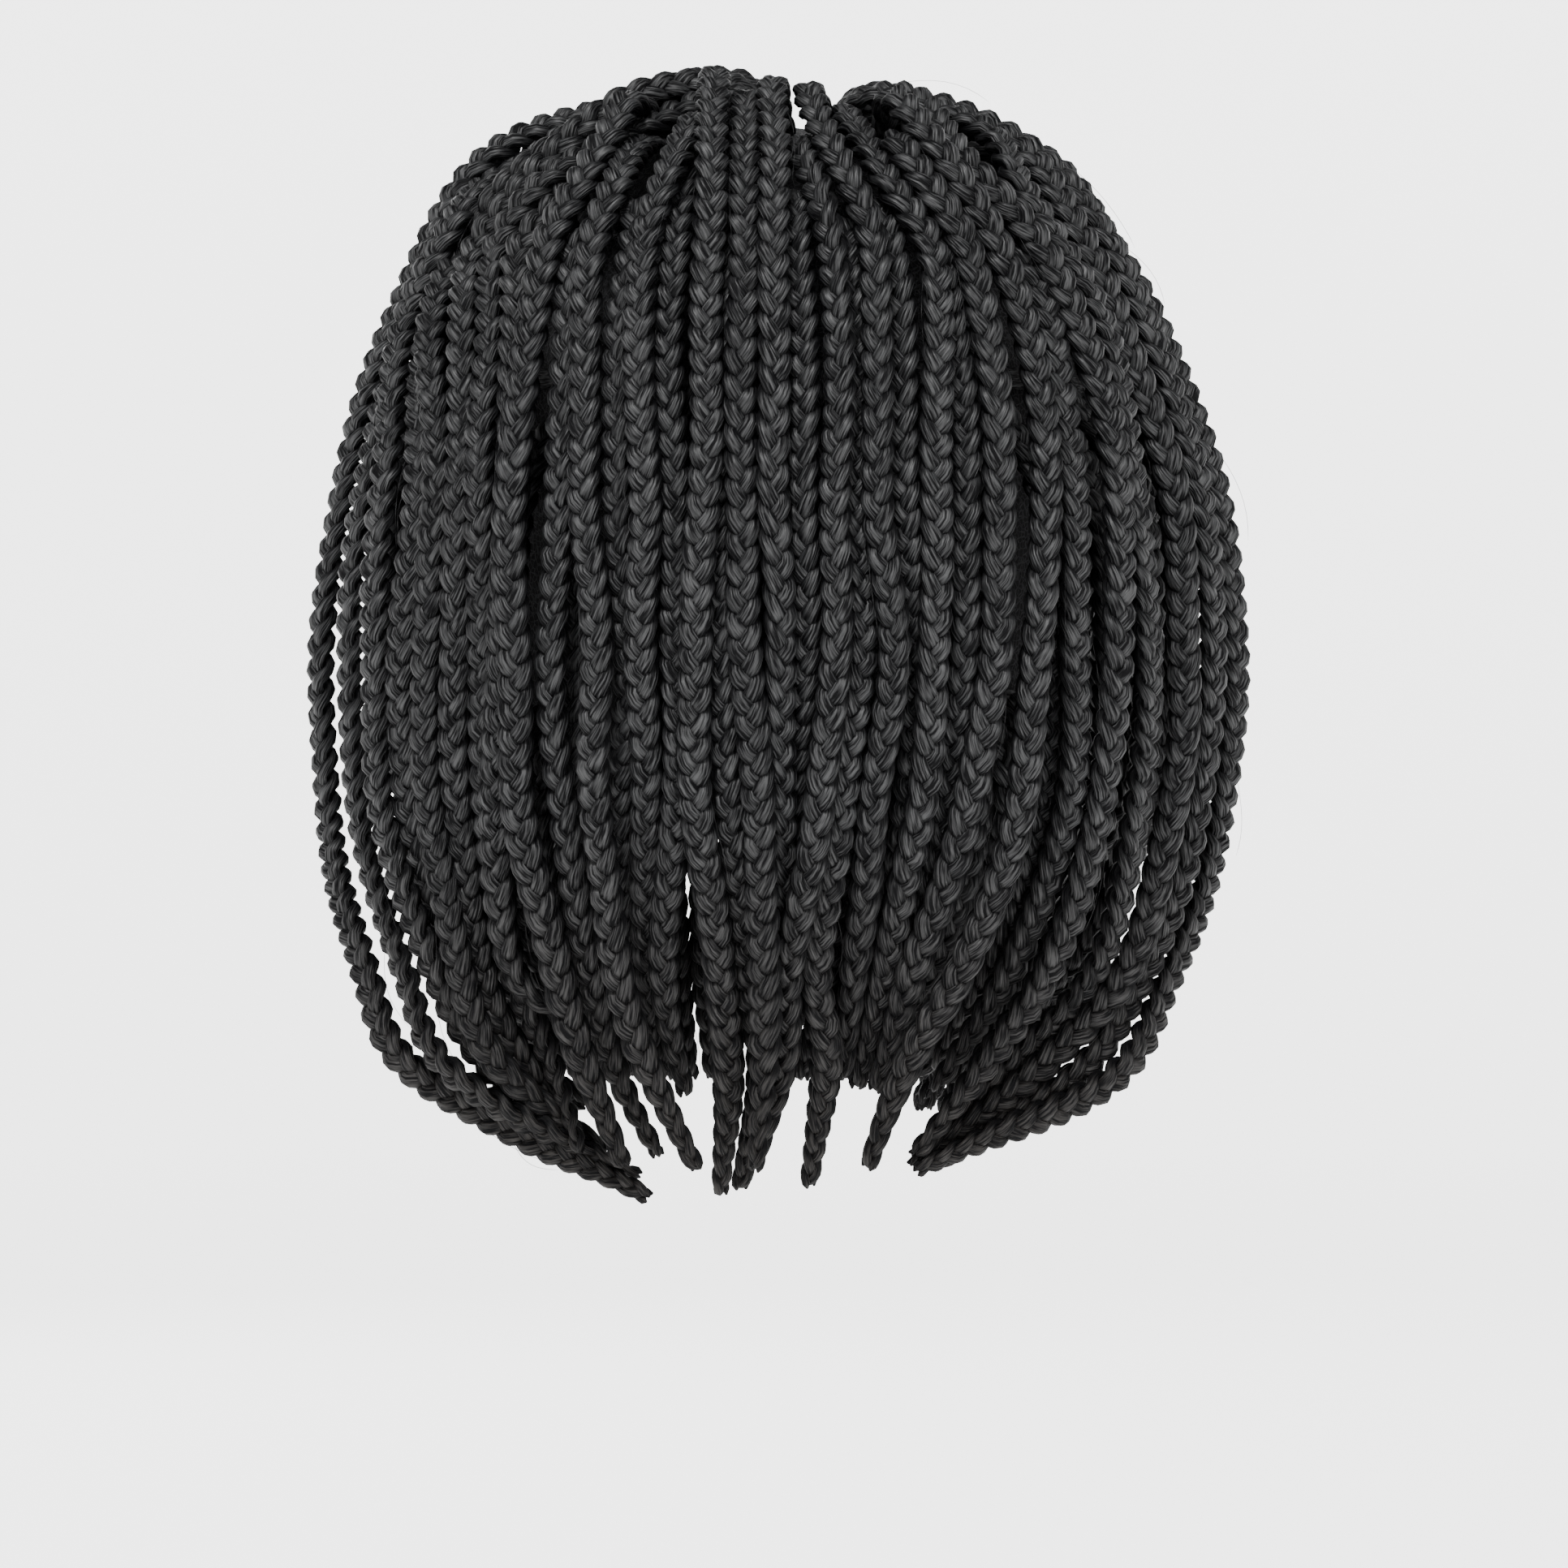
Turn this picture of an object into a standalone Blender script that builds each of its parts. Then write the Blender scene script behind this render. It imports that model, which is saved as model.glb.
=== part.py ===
"""Bob wig of black box braids: a net cap that a head goes into, and rows of flat braids knotted into it.

Metres, +Z up. The face opening looks along -Y and the back of the wig along +Y. The origin is the
top of the head, on the inner face of the cap. Each braid is one lock with the outline of its plait.
"""

import math

import bmesh
import bpy
import numpy as np
from mathutils import Vector

MM = 0.001

# The head that the cap is made for
HEAD_HALF_WIDTH = 76 * MM
HEAD_HALF_LENGTH = 94 * MM
HEAD_WIDEST = -95 * MM
HEAD_SQUARENESS = 2.3
NAPE_REACH = 75 * MM
NAPE_WIDTH_LOSS = 0.16
NAPE_LENGTH_LOSS = 0.24

# The cap
CAP_THICKNESS = 2 * MM
CAP_SIDES = 24
CAP_RINGS = 7
CAP_RIM = (
    # degrees from the middle of the back, height of the rim
    (0, -165 * MM),
    (50, -158 * MM),
    (85, -112 * MM),
    (105, -112 * MM),
    (125, -96 * MM),
    (150, -66 * MM),
    (180, -62 * MM),
)

# The outer form of the hair, level by level, from the top down
HAIR_FORM = (
    # height, half width, middle, back, front
    (13 * MM, 10 * MM, -12 * MM, 22 * MM, 12 * MM),
    (10 * MM, 26 * MM, -5 * MM, 44 * MM, 36 * MM),
    (4 * MM, 46 * MM, -3 * MM, 61 * MM, 54 * MM),
    (-6 * MM, 65 * MM, -1 * MM, 80 * MM, 71 * MM),
    (-20 * MM, 78 * MM, -1 * MM, 95 * MM, 83 * MM),
    (-32 * MM, 86 * MM, 0 * MM, 103 * MM, 88 * MM),
    (-48 * MM, 95 * MM, 1 * MM, 110 * MM, 92 * MM),
    (-69 * MM, 105 * MM, 0 * MM, 116 * MM, 94 * MM),
    (-89 * MM, 111 * MM, 0 * MM, 119 * MM, 95 * MM),
    (-110 * MM, 115 * MM, 1 * MM, 120 * MM, 95 * MM),
    (-130 * MM, 117 * MM, 1 * MM, 120 * MM, 93 * MM),
    (-151 * MM, 117 * MM, 2 * MM, 118 * MM, 90 * MM),
    (-171 * MM, 114 * MM, 2 * MM, 115 * MM, 85 * MM),
    (-192 * MM, 110 * MM, 3 * MM, 110 * MM, 78 * MM),
    (-212 * MM, 103 * MM, 5 * MM, 104 * MM, 70 * MM),
    (-233 * MM, 90 * MM, 6 * MM, 96 * MM, 62 * MM),
    (-253 * MM, 60 * MM, 10 * MM, 86 * MM, 50 * MM),
    (-270 * MM, 40 * MM, 10 * MM, 76 * MM, 40 * MM),
)

# One lock's sizes
BRAID_WIDTH = 7.2 * MM
BRAID_THICKNESS = 4.4 * MM
ROOT_SHARE = 0.5
TIP_SHARE = 0.45
SIDES = {"first": 6, "second": 4, "inner": 4, "nape": 4}
GAP = 0.8 * MM
BAND_WIDTH = 5 * MM
BAND_THICKNESS = 1.6 * MM
BAND_LIFT = 0.7 * MM
BAND_STEP = 12 * MM
ROOT_RISE = 8 * MM
SHORT_RISE = 20 * MM
LONG_WAY = 25 * MM
OVER_CAP = 7.5 * MM
UNDER_CAP = 5.2 * MM

# The chart: the back of the wig drawn flat, seen from straight behind at the height of its middle.
# A position on it counts steps to the right and down from its top left corner.
CHART_STEP = 0.205 * MM
CHART_MIDDLE = 966
CHART_HEIGHT = -164.1 * MM
VIEW_DISTANCE = 1800 * MM
CHART_LEVELS = (300, 400, 600, 800, 1000, 1200, 1300)
TIP_DROP = 60
SWING_FROM = -190 * MM
SWING = 0.27
LEAST_DROP = 70
LONG_DROP = 115
TUCK_START = 700
TUCK_RUN = 500

# Braids of the back and sides. Root: millimetres to the left and back of the crown. Start: where the
# braid comes into view. Then its place across the chart at each level, its tip, and how far the tip
# tucks in under its neighbours, in millimetres.
CHART = (
    # section, root, start, across at each level, tip, tuck
    ("first_row_left_side", (1, -10), (617, 233), (560, 500, 428, 399, 405, 453, 505), (820, 1462), 0),
    ("first_row_left_side", (1, -2), (618, 225), (568, 504, 447, 432, 443, 503, 557), (792, 1450), 4),
    ("first_row_left_side", (1, 6), (628, 225), (577, 515, 477, 465, 475, 539, 593), (768, 1438), 8),
    ("first_row_left_side", (1, 14), (642, 226), (575, 541, 542, 528, 539, 580, 625), (745, 1420), 9),
    ("first_row_left_side", (1, 21), (658, 228), (593, 578, 569, 561, 560, 594, 640), (720, 1398), 12),
    ("first_row_left_side", (3, 28), (676, 228), (614, 600, 602, 598, 597, 625, 670), (742, 1385), 14),
    ("first_row_left_back", (13, 40), (880, 118), (873, 872, 870, 857, 860, 888, 897), (888, 1472), 0),
    ("first_row_left_back", (20, 20), (741, 156), (637, 633, 620, 615, 615, 640, 660), (700, 1260), 12),
    ("first_row_left_back", (26, 27), (758, 172), (683, 661, 635, 639, 643, 690, 725), (785, 1412), 3),
    ("first_row_left_back", (26, 36), (785, 153), (734, 723, 722, 735, 735, 764, 796), (866, 1421), 0),
    ("first_row_left_back", (19, 43), (857, 146), (798, 789, 797, 796, 805, 800, 805), (805, 1310), 10),
    ("first_row_left_back", (9, 46), (919, 122), (919, 916, 916, 924, 937, 945, 945), (935, 1400), 0),
    ("first_row_left_back", (-1, 40), (957, 114), (953, 951, 950, 957, 962, 968, 972), (972, 1300), 8),
    ("first_row_right_back", (-30, 49), (1105, 182), (1181, 1210, 1230, 1224, 1190, 1124, 1092), (1078, 1345), 6),
    ("first_row_right_back", (-22, 42), (1092, 140), (1222, 1262, 1290, 1276, 1256, 1183, 1120), (1065, 1430), 0),
    ("first_row_right_back", (-16, 38), (1043, 118), (1147, 1155, 1152, 1148, 1128, 1085, 1065), (1055, 1340), 12),
    ("first_row_right_back", (-12, 43), (994, 122), (1071, 1079, 1078, 1097, 1072, 1052, 1045), (1040, 1330), 10),
    ("first_row_right_back", (-6, 55), (985, 178), (1024, 1034, 1030, 1030, 1008, 971, 964), (930, 1425), 0),
    ("first_row_right_side", (-11, 27), (1122, 124), (1267, 1323, 1375, 1375, 1354, 1285, 1208), (1112, 1385), 8),
    ("first_row_right_side", (-11, 20), (1215, 165), (1306, 1359, 1398, 1415, 1406, 1360, 1288), (1112, 1400), 8),
    ("first_row_right_side", (-11, 13), (1268, 196), (1335, 1378, 1444, 1460, 1445, 1385, 1310), (1135, 1400), 6),
    ("first_row_right_side", (-11, 5), (1290, 207), (1360, 1410, 1476, 1493, 1476, 1412, 1338), (1122, 1408), 3),
    ("first_row_right_side", (-11, -3), (1307, 216), (1366, 1422, 1495, 1518, 1501, 1430, 1360), (1095, 1415), 0),
    ("second_row_back", (58, 40), (560, 330), (560, 522, 512, 495, 500, 565, 645), (725, 1362), 17),
    ("second_row_back", (48, 50), (700, 285), (700, 696, 690, 680, 693, 730, 750), (812, 1425), 6),
    ("second_row_back", (38, 58), (776, 255), (772, 761, 759, 772, 765, 775, 790), (790, 1310), 12),
    ("second_row_back", (27, 64), (840, 190), (828, 820, 825, 824, 830, 815, 830), (845, 1350), 2),
    ("second_row_back", (15, 68), (892, 260), (890, 887, 885, 887, 900, 925, 940), (912, 1465), 2),
    ("second_row_back", (-8, 71), (985, 240), (985, 989, 990, 992, 977, 965, 960), (958, 1345), 8),
    ("second_row_back", (-15, 69), (1046, 300), (1046, 1056, 1056, 1063, 1036, 1006, 1017), (997, 1462), 0),
    ("second_row_back", (-22, 67), (1097, 235), (1105, 1114, 1115, 1130, 1120, 1085, 1068), (1060, 1330), 12),
    ("second_row_back", (-38, 60), (1160, 270), (1168, 1180, 1191, 1187, 1165, 1110, 1085), (1080, 1340), 10),
    ("second_row_back", (-50, 50), (1262, 290), (1268, 1300, 1322, 1325, 1313, 1240, 1172), (1150, 1345), 14),
)

# Rows that follow a rule. Turn: degrees from the middle of the back.
PARTING_MIDDLE = -5 * MM
PARTING_HALF_WIDTH = 6 * MM
FRONT_BRAIDS = 9
FRONT_FIRST = -78 * MM
FRONT_STEP = 7.4 * MM
FRONT_TURNS = (143, 95)
SECOND_BRAIDS = 9
SECOND_FIRST = -60 * MM
SECOND_STEP = 9.6 * MM
SECOND_SIDE = 38 * MM
SECOND_TURNS = (139, 70)
FRONT_LEVELS = (-26 * MM, -64 * MM, -120 * MM, -182 * MM, -236 * MM)
FRONT_DRAW_IN = (0, 1 * MM, 6 * MM, 13 * MM, 26 * MM)
FRONT_SWEEP = (0, 0, 0, 8 * MM, 24 * MM)
SIDE_TUCK = 8 * MM
INNER_ROWS = (
    # name, braids, widest turn, root height, depth inside the outer form, levels, draw in at the tip
    ("inner_row", 22, 124, -66 * MM, 14 * MM, (-94, -140, -188, -234), 7 * MM),
    ("nape_row", 19, 50, -142 * MM, 22 * MM, (-162, -196, -236), 4 * MM),
)
INNER_SECTIONS = (
    # section, share of the row where it ends, counted from the left
    ("left", 8 / 22),
    ("back", 14 / 22),
    ("right", 1),
)
INNER_FRONT_INSET = 33 * MM

SETTLE_ROUNDS = 360
EASING = 0.12
HOMING = 0.04
INTERLEAVE = 1.2 * MM
TIE_BREAK = 0.001 * MM
SIDEWAYS = 0.25
MOST_STRAY = 12 * MM

HAIR_COLOUR = (0.012, 0.012, 0.014)
HAIR_ROUGHNESS = 0.45
CAP_COLOUR = (0.02, 0.019, 0.019)
CAP_ROUGHNESS = 0.9


def clear_scene():
    for item in list(bpy.data.objects):
        bpy.data.objects.remove(item, do_unlink=True)


def make_material(name, colour, roughness):
    material = bpy.data.materials.new(name)
    material.use_nodes = True
    shader = material.node_tree.nodes["Principled BSDF"]
    shader.inputs["Base Color"].default_value = (*colour, 1)
    shader.inputs["Roughness"].default_value = roughness
    shader.inputs["Metallic"].default_value = 0
    return material


def unit(vector):
    return vector / np.linalg.norm(vector, axis=-1, keepdims=True)


def head_share(height):
    """How much of the head's full width and length is left at a height."""
    if height > HEAD_WIDEST:
        rise = min((height - HEAD_WIDEST) / -HEAD_WIDEST, 1)
        share = (1 - rise**HEAD_SQUARENESS) ** (1 / HEAD_SQUARENESS)
        return share, share
    drop = ((HEAD_WIDEST - height) / NAPE_REACH) ** 2
    return 1 - NAPE_WIDTH_LOSS * drop, 1 - NAPE_LENGTH_LOSS * drop


def head_point(turn, height):
    wide, long = head_share(height)
    return np.array(
        (
            HEAD_HALF_WIDTH * wide * math.sin(turn),
            HEAD_HALF_LENGTH * long * math.cos(turn),
            height,
        )
    )


def head_top(across, back):
    """The point of the head under a place on its upper half."""
    share = min(math.hypot(across / HEAD_HALF_WIDTH, back / HEAD_HALF_LENGTH), 0.999)
    rise = (1 - share**HEAD_SQUARENESS) ** (1 / HEAD_SQUARENESS)
    return np.array((across, back, HEAD_WIDEST * (1 - rise)))


def head_level(points):
    """1 on the head, less inside it and more outside."""
    x, y, z = points.T
    rise = np.maximum((z - HEAD_WIDEST) / -HEAD_WIDEST, 0)
    drop = np.maximum((HEAD_WIDEST - z) / NAPE_REACH, 0) ** 2
    wide = HEAD_HALF_WIDTH * (1 - NAPE_WIDTH_LOSS * drop)
    long = HEAD_HALF_LENGTH * (1 - NAPE_LENGTH_LOSS * drop)
    flat = np.hypot(x / wide, y / long)
    return (flat**HEAD_SQUARENESS + rise**HEAD_SQUARENESS) ** (1 / HEAD_SQUARENESS)


def head_slope(points):
    """How fast the level grows along each axis."""
    steps = np.eye(3) * 0.1 * MM
    grown = [head_level(points + step) - head_level(points - step) for step in steps]
    return np.stack(grown, axis=1) / (0.2 * MM)


def head_normal(point):
    return unit(head_slope(np.array([point])))[0]


def above_head(points):
    """How far each point lies outside the head, near enough."""
    return (head_level(points) - 1) / np.linalg.norm(head_slope(points), axis=1)


def on_cap(point):
    """The point moved to the middle of the band of base hair that lies on the cap."""
    lift = CAP_THICKNESS + BAND_LIFT + BAND_THICKNESS / 2
    for _ in range(4):
        point = point + head_normal(point) * (lift - above_head(np.array([point]))[0])
    return point


def rim_height(turn):
    turns, heights = zip(*CAP_RIM)
    return float(np.interp(abs(math.degrees(turn)), turns, heights))


def hair_level(height):
    """Half width, middle, back and front of the hair's outer form at a height."""
    heights, *columns = zip(*HAIR_FORM[::-1])
    return [float(np.interp(height, heights, column)) for column in columns]


def hair_top(across, back):
    """The height of the hair's outer form over a place on its upper half."""
    for height in np.linspace(14 * MM, -60 * MM, 149):
        wide, middle, rear, front = hair_level(height)
        reach = rear if back > 0 else front
        if ((across - middle) / wide) ** 2 + (back / reach) ** 2 <= 1:
            return height
    return -60 * MM


def hair_normal(points):
    """Outward direction of the hair's outer form: up on the crown, level at the sides, down at the tips."""
    x, y, z = np.asarray(points).T
    up = np.maximum(z + 100 * MM, 0) / (114 * MM) ** 2
    down = np.minimum(z + 170 * MM, 0) / (140 * MM) ** 2
    return unit(np.stack((x / (117 * MM) ** 2, y / (119 * MM) ** 2, up + down), axis=1))


def on_chart(across, down, depth=0.0):
    """The point of the outer form, or of a form that much further in, at a place on the chart.

    Low down the form is taken wider, because the outermost braids swing round to the back there.
    """
    x = back = 0.0
    for _ in range(12):
        scale = CHART_STEP * (VIEW_DISTANCE - back) / VIEW_DISTANCE
        x = (CHART_MIDDLE - across) * scale
        height = CHART_HEIGHT - (down - CHART_MIDDLE) * scale
        wide, middle, rear, _ = hair_level(height)
        wide += SWING * max(SWING_FROM - height, 0) - 2 * MM
        share = min(abs(x - middle) / wide, 0.995)
        back = 0.5 * back + 0.5 * (rear - depth) * math.sqrt(1 - share**2)
    return np.array((x, back, height))


def rise_from(root, target):
    """The point where a braid has left the cap and turned towards its way down."""
    out = head_normal(root)
    way = target - root
    way = way - out * way.dot(out)
    return root + out * OVER_CAP + unit(way) * min(ROOT_RISE, np.linalg.norm(way) / 2)


def chart_braid(section, root, start, across, tip, tuck):
    row = section.split("_")[0]
    depth = {"first": 0, "second": 2.4 * MM}[row]
    base = on_cap(head_top(root[0] * MM, root[1] * MM))
    begin = on_chart(*start, depth)
    points = [base]
    if np.linalg.norm(begin - base) > SHORT_RISE:
        points.append(rise_from(base, begin))
    if np.linalg.norm(begin[:2] - points[-1][:2]) > LONG_WAY:
        over = (points[-1] + begin) / 2
        over[2] = hair_top(over[0], over[1]) - 2 * MM
        points.append(over)
    points.append(begin)
    depths = [depth] * len(points)
    stops = [(place, down) for place, down in zip(across, CHART_LEVELS) if down >= start[1] + LEAST_DROP]
    if CHART_LEVELS[0] - start[1] > LONG_DROP:
        stops.insert(0, ((start[0] + across[0]) / 2, (start[1] + CHART_LEVELS[0]) / 2))
    stops = [stop for stop in stops if stop[1] <= tip[1] - TIP_DROP]
    stops.append(tip)
    for place, down in stops:
        depths.append(depth + tuck * MM * min(max((down - TUCK_START) / TUCK_RUN, 0), 1))
        points.append(on_chart(place, down, depths[-1]))
    return {"section": section, "row": row, "points": np.array(points), "depths": np.array(depths)}


def side_braid(section, side, root, turn, depth):
    """A braid of the front or side, in front of the widest part, which the cheek side shows."""
    row = section.split("_")[0]
    base = on_cap(head_top(*root))
    course = []
    depths = [depth] * 3
    sideways = math.sin(turn) ** 6
    for height, draw_in, sweep in zip(FRONT_LEVELS, FRONT_DRAW_IN, FRONT_SWEEP):
        wide, middle, _, front = hair_level(height)
        under = SIDE_TUCK * sideways * min(max(-height / (60 * MM) - 0.4, 0), 1)
        inset = depth + draw_in + under
        depths.append(depth + under)
        x = middle + side * (wide - 3 * MM - inset - sweep * sideways / 3) * math.sin(turn)
        y = (front - 3 * MM - inset / 2) * math.cos(turn) + sweep * sideways
        course.append(np.array((x, y, height)))
    points = [base, rise_from(base, course[0])]
    over = (points[1] + course[0]) / 2
    over[2] = max(hair_top(over[0], over[1]) - 2 * MM, over[2]) - depth
    points.append(over)
    points.extend(course)
    return {"section": section, "row": row, "points": np.array(points), "depths": np.array(depths)}


def front_braids():
    for side, name in ((1, "left"), (-1, "right")):
        for i in range(FRONT_BRAIDS):
            root = (PARTING_MIDDLE + side * PARTING_HALF_WIDTH, FRONT_FIRST + i * FRONT_STEP)
            turn = np.interp(i, (0, FRONT_BRAIDS - 1), FRONT_TURNS)
            yield side_braid(f"first_row_{name}_front", side, root, math.radians(turn), 0)
        for i in range(SECOND_BRAIDS):
            root = (side * SECOND_SIDE, SECOND_FIRST + i * SECOND_STEP)
            turn = np.interp(i, (0, SECOND_BRAIDS - 1), SECOND_TURNS)
            yield side_braid(f"second_row_{name}", side, root, math.radians(turn), 4 * MM)


def inner_braids():
    for name, count, widest, root_height, depth, levels, draw_in in INNER_ROWS:
        for i in range(count):
            share = (i + 0.5) / count
            turn = math.radians(widest) * (1 - 2 * share)
            points = [on_cap(head_point(turn, max(root_height, rim_height(turn) + 8 * MM)))]
            for level in levels:
                height = level * MM
                wide, middle, back, front = hair_level(height)
                inset = depth + draw_in * (level == levels[-1])
                reach = back if math.cos(turn) > 0 else front
                if math.cos(turn) < 0.2:
                    wide -= INNER_FRONT_INSET * min(max(-level / 200, 0), 1)
                wide -= inset
                x = middle + wide * math.sin(turn)
                points.append(np.array((x, (reach - inset) * math.cos(turn), height)))
            section = name
            if name == "inner_row":
                section += "_" + next(part for part, end in INNER_SECTIONS if share < end)
            row = name.split("_")[0]
            depths = np.full(len(points), depth)
            yield {"section": section, "row": row, "points": np.array(points), "depths": depths}


def frames_along(points):
    """Directions along, across and out from the head at each point of a braid."""
    along = np.gradient(points, axis=0)
    along[0] = points[1] - points[0]
    along = unit(along)
    out = hair_normal(points)
    across = unit(np.cross(out, along))
    return along, across, unit(np.cross(along, across))


def half_sizes(braid):
    """Half width and half thickness of a braid at each point: slim at the smooth root, full, fine at the tip."""
    count = len(braid["points"])
    share = np.ones(count)
    share[0] = ROOT_SHARE
    share[1] = (1 + ROOT_SHARE) / 2
    share[-2] = 0.86
    share[-1] = TIP_SHARE
    return share * BRAID_WIDTH / 2, share * BRAID_THICKNESS / 2


def closest_places(a0, a1, b0, b1):
    """Where two stretches come closest, as shares of their lengths."""
    da, db, r = a1 - a0, b1 - b0, a0 - b0
    a, e = (da * da).sum(1), (db * db).sum(1)
    b, c, f = (da * db).sum(1), (da * r).sum(1), (db * r).sum(1)
    s = np.clip((b * f - c * e) / np.maximum(a * e - b * b, 1e-18), 0, 1)
    t = np.clip((b * s + f) / e, 0, 1)
    return np.clip((b * t - c) / a, 0, 1), t


def settle(braids):
    """Pushes braids that lie into each other apart, mostly in and out from the head, and off the cap."""
    sizes = [len(braid["points"]) for braid in braids]
    starts = np.concatenate(((0,), np.cumsum(sizes)))[:-1]
    points = np.concatenate([braid["points"] for braid in braids])
    drawn = points.copy()
    owner = np.repeat(np.arange(len(braids)), sizes)
    place = np.concatenate([np.arange(size) for size in sizes])
    depth = np.concatenate([braid["depths"] for braid in braids])
    depth = depth + INTERLEAVE * (owner % 2) + owner * TIE_BREAK
    half_width, half_thick = (np.concatenate(part) for part in zip(*map(half_sizes, braids)))
    free = np.where(place == 0, 0.0, np.where(place == 1, 0.5, 1.0))
    free = free * np.minimum(0.4 + depth / (12 * MM), 1.2)
    begin = np.flatnonzero(owner[:-1] == owner[1:])
    first, second = np.triu_indices(len(begin), 1)
    apart = owner[begin[first]] != owner[begin[second]]
    first, second = begin[first[apart]], begin[second[apart]]
    reach = np.linalg.norm(points[begin + 1] - points[begin], axis=1).max()
    clear = np.where(depth < 8 * MM, OVER_CAP, UNDER_CAP)
    for turn in range(SETTLE_ROUNDS):
        out = hair_normal(points)
        across = np.concatenate(
            [frames_along(points[s : s + n])[1] for s, n in zip(starts, sizes)]
        )
        if turn % 10 == 0:
            near = np.linalg.norm(points[first] - points[second], axis=1) < reach + 20 * MM
            one, two = first[near], second[near]
        s, t = closest_places(points[one], points[one + 1], points[two], points[two + 1])
        s, t = s[:, None], t[:, None]
        here = points[one] * (1 - s) + points[one + 1] * s
        there = points[two] * (1 - t) + points[two + 1] * t
        between = here - there
        distance = np.linalg.norm(between, axis=1)
        way = between / np.maximum(distance, 1e-9)[:, None]
        near_one = np.where(s[:, 0] < 0.5, one, one + 1)
        near_two = np.where(t[:, 0] < 0.5, two, two + 1)
        need = np.full(len(one), GAP)
        for who in (near_one, near_two):
            need += np.hypot(
                half_width[who] * (way * across[who]).sum(1), half_thick[who] * (way * out[who]).sum(1)
            )
        push = np.maximum(need - distance, 0)
        hit = push > 0
        if not hit.any():
            break
        one_hit, two_hit, s, t = one[hit], two[hit], s[hit], t[hit]
        outward = unit(out[one_hit] + out[two_hit])
        radial = (way[hit] * outward).sum(1)
        side = np.sign(depth[near_two[hit]] - depth[near_one[hit]])
        level = way[hit] - radial[:, None] * outward
        shift = outward * (side * push[hit])[:, None] + SIDEWAYS * level * push[hit][:, None]
        moved = np.zeros_like(points)
        weight = np.zeros(len(points))
        for start, share, sign in ((one_hit, s, 1), (two_hit, t, -1)):
            for end, part in ((0, 1 - share), (1, share)):
                np.add.at(moved, start + end, sign * part * shift * 0.5)
                np.add.at(weight, start + end, part[:, 0])
        moved /= np.maximum(weight, 1)[:, None]
        points = points + moved * free[:, None]
        strayed = points - drawn
        strayed *= np.minimum(1, MOST_STRAY / np.maximum(np.linalg.norm(strayed, axis=1), 1e-9))[:, None]
        eased = strayed.copy()
        inside = (place > 1) & (np.append(owner[1:], -1) == owner)
        rows = np.flatnonzero(inside)
        eased[rows] = (strayed[rows - 1] + 2 * strayed[rows] + strayed[rows + 1]) / 4
        ease = EASING * (1 - turn / SETTLE_ROUNDS)
        points = drawn + (strayed * (1 - ease) + eased * ease) * (1 - HOMING * (1 - turn / SETTLE_ROUNDS))
        short = np.where(place > 0, clear - above_head(points), 0)
        points = points + hair_normal(points) * np.maximum(short, 0)[:, None]
    for braid, start, size in zip(braids, starts, sizes):
        braid["points"] = points[start : start + size]


def lay_out_braids():
    braids = [chart_braid(*row) for row in CHART]
    braids.extend(front_braids())
    braids.extend(inner_braids())
    settle(braids)
    return braids


def loft(name, rings):
    """A closed tube skinned over rings of points."""
    mesh = bpy.data.meshes.new(name)
    bm = bmesh.new()
    loops = [[bm.verts.new(point) for point in ring] for ring in rings]
    for lower, upper in zip(loops, loops[1:]):
        for i in range(len(lower)):
            j = (i + 1) % len(lower)
            bm.faces.new((lower[i], lower[j], upper[j], upper[i]))
    bm.faces.new(loops[0][::-1])
    bm.faces.new(loops[-1])
    bmesh.ops.recalc_face_normals(bm, faces=bm.faces)
    bm.to_mesh(mesh)
    bm.free()
    return bpy.data.objects.new(name, mesh)


def make_lock(name, braid):
    points = braid["points"]
    _, across, out = frames_along(points)
    half_width, half_thick = half_sizes(braid)
    sides = SIDES[braid["row"]]
    angles = np.arange(sides) * 2 * math.pi / sides
    rings = [
        points[i]
        + np.outer(np.cos(angles) * half_width[i], across[i])
        + np.outer(np.sin(angles) * half_thick[i], out[i])
        for i in range(len(points))
    ]
    return loft(name, rings)


def make_band(name, roots):
    """The band of base hair that a section's roots are knotted into, laid along the cap."""
    kept = [roots[0]]
    for root, following in zip(roots[1:], roots[2:]):
        chord = unit(following - kept[-1])
        aside = np.linalg.norm(np.cross(root - kept[-1], chord))
        if np.linalg.norm(root - kept[-1]) > BAND_STEP or aside > BAND_WIDTH / 8:
            kept.append(root)
    kept.append(roots[-1])
    points = [roots[0] - unit(roots[1] - roots[0]) * BAND_WIDTH / 2]
    for root, other in zip(kept, kept[1:]):
        steps = max(round(np.linalg.norm(other - root) / BAND_STEP), 1)
        points.extend(on_cap(root + (other - root) * i / steps) for i in range(steps))
    points.append(roots[-1])
    points.append(roots[-1] + unit(roots[-1] - roots[-2]) * BAND_WIDTH / 2)
    points = np.array(points)
    rings = []
    for point, along in zip(points, unit(np.gradient(points, axis=0))):
        out = head_normal(point)
        across = unit(np.cross(out, along)) * BAND_WIDTH / 2
        up = out * BAND_THICKNESS / 2
        rings.append([point - across - up, point + across - up, point + across + up, point - across + up])
    return loft(name, rings)


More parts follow.
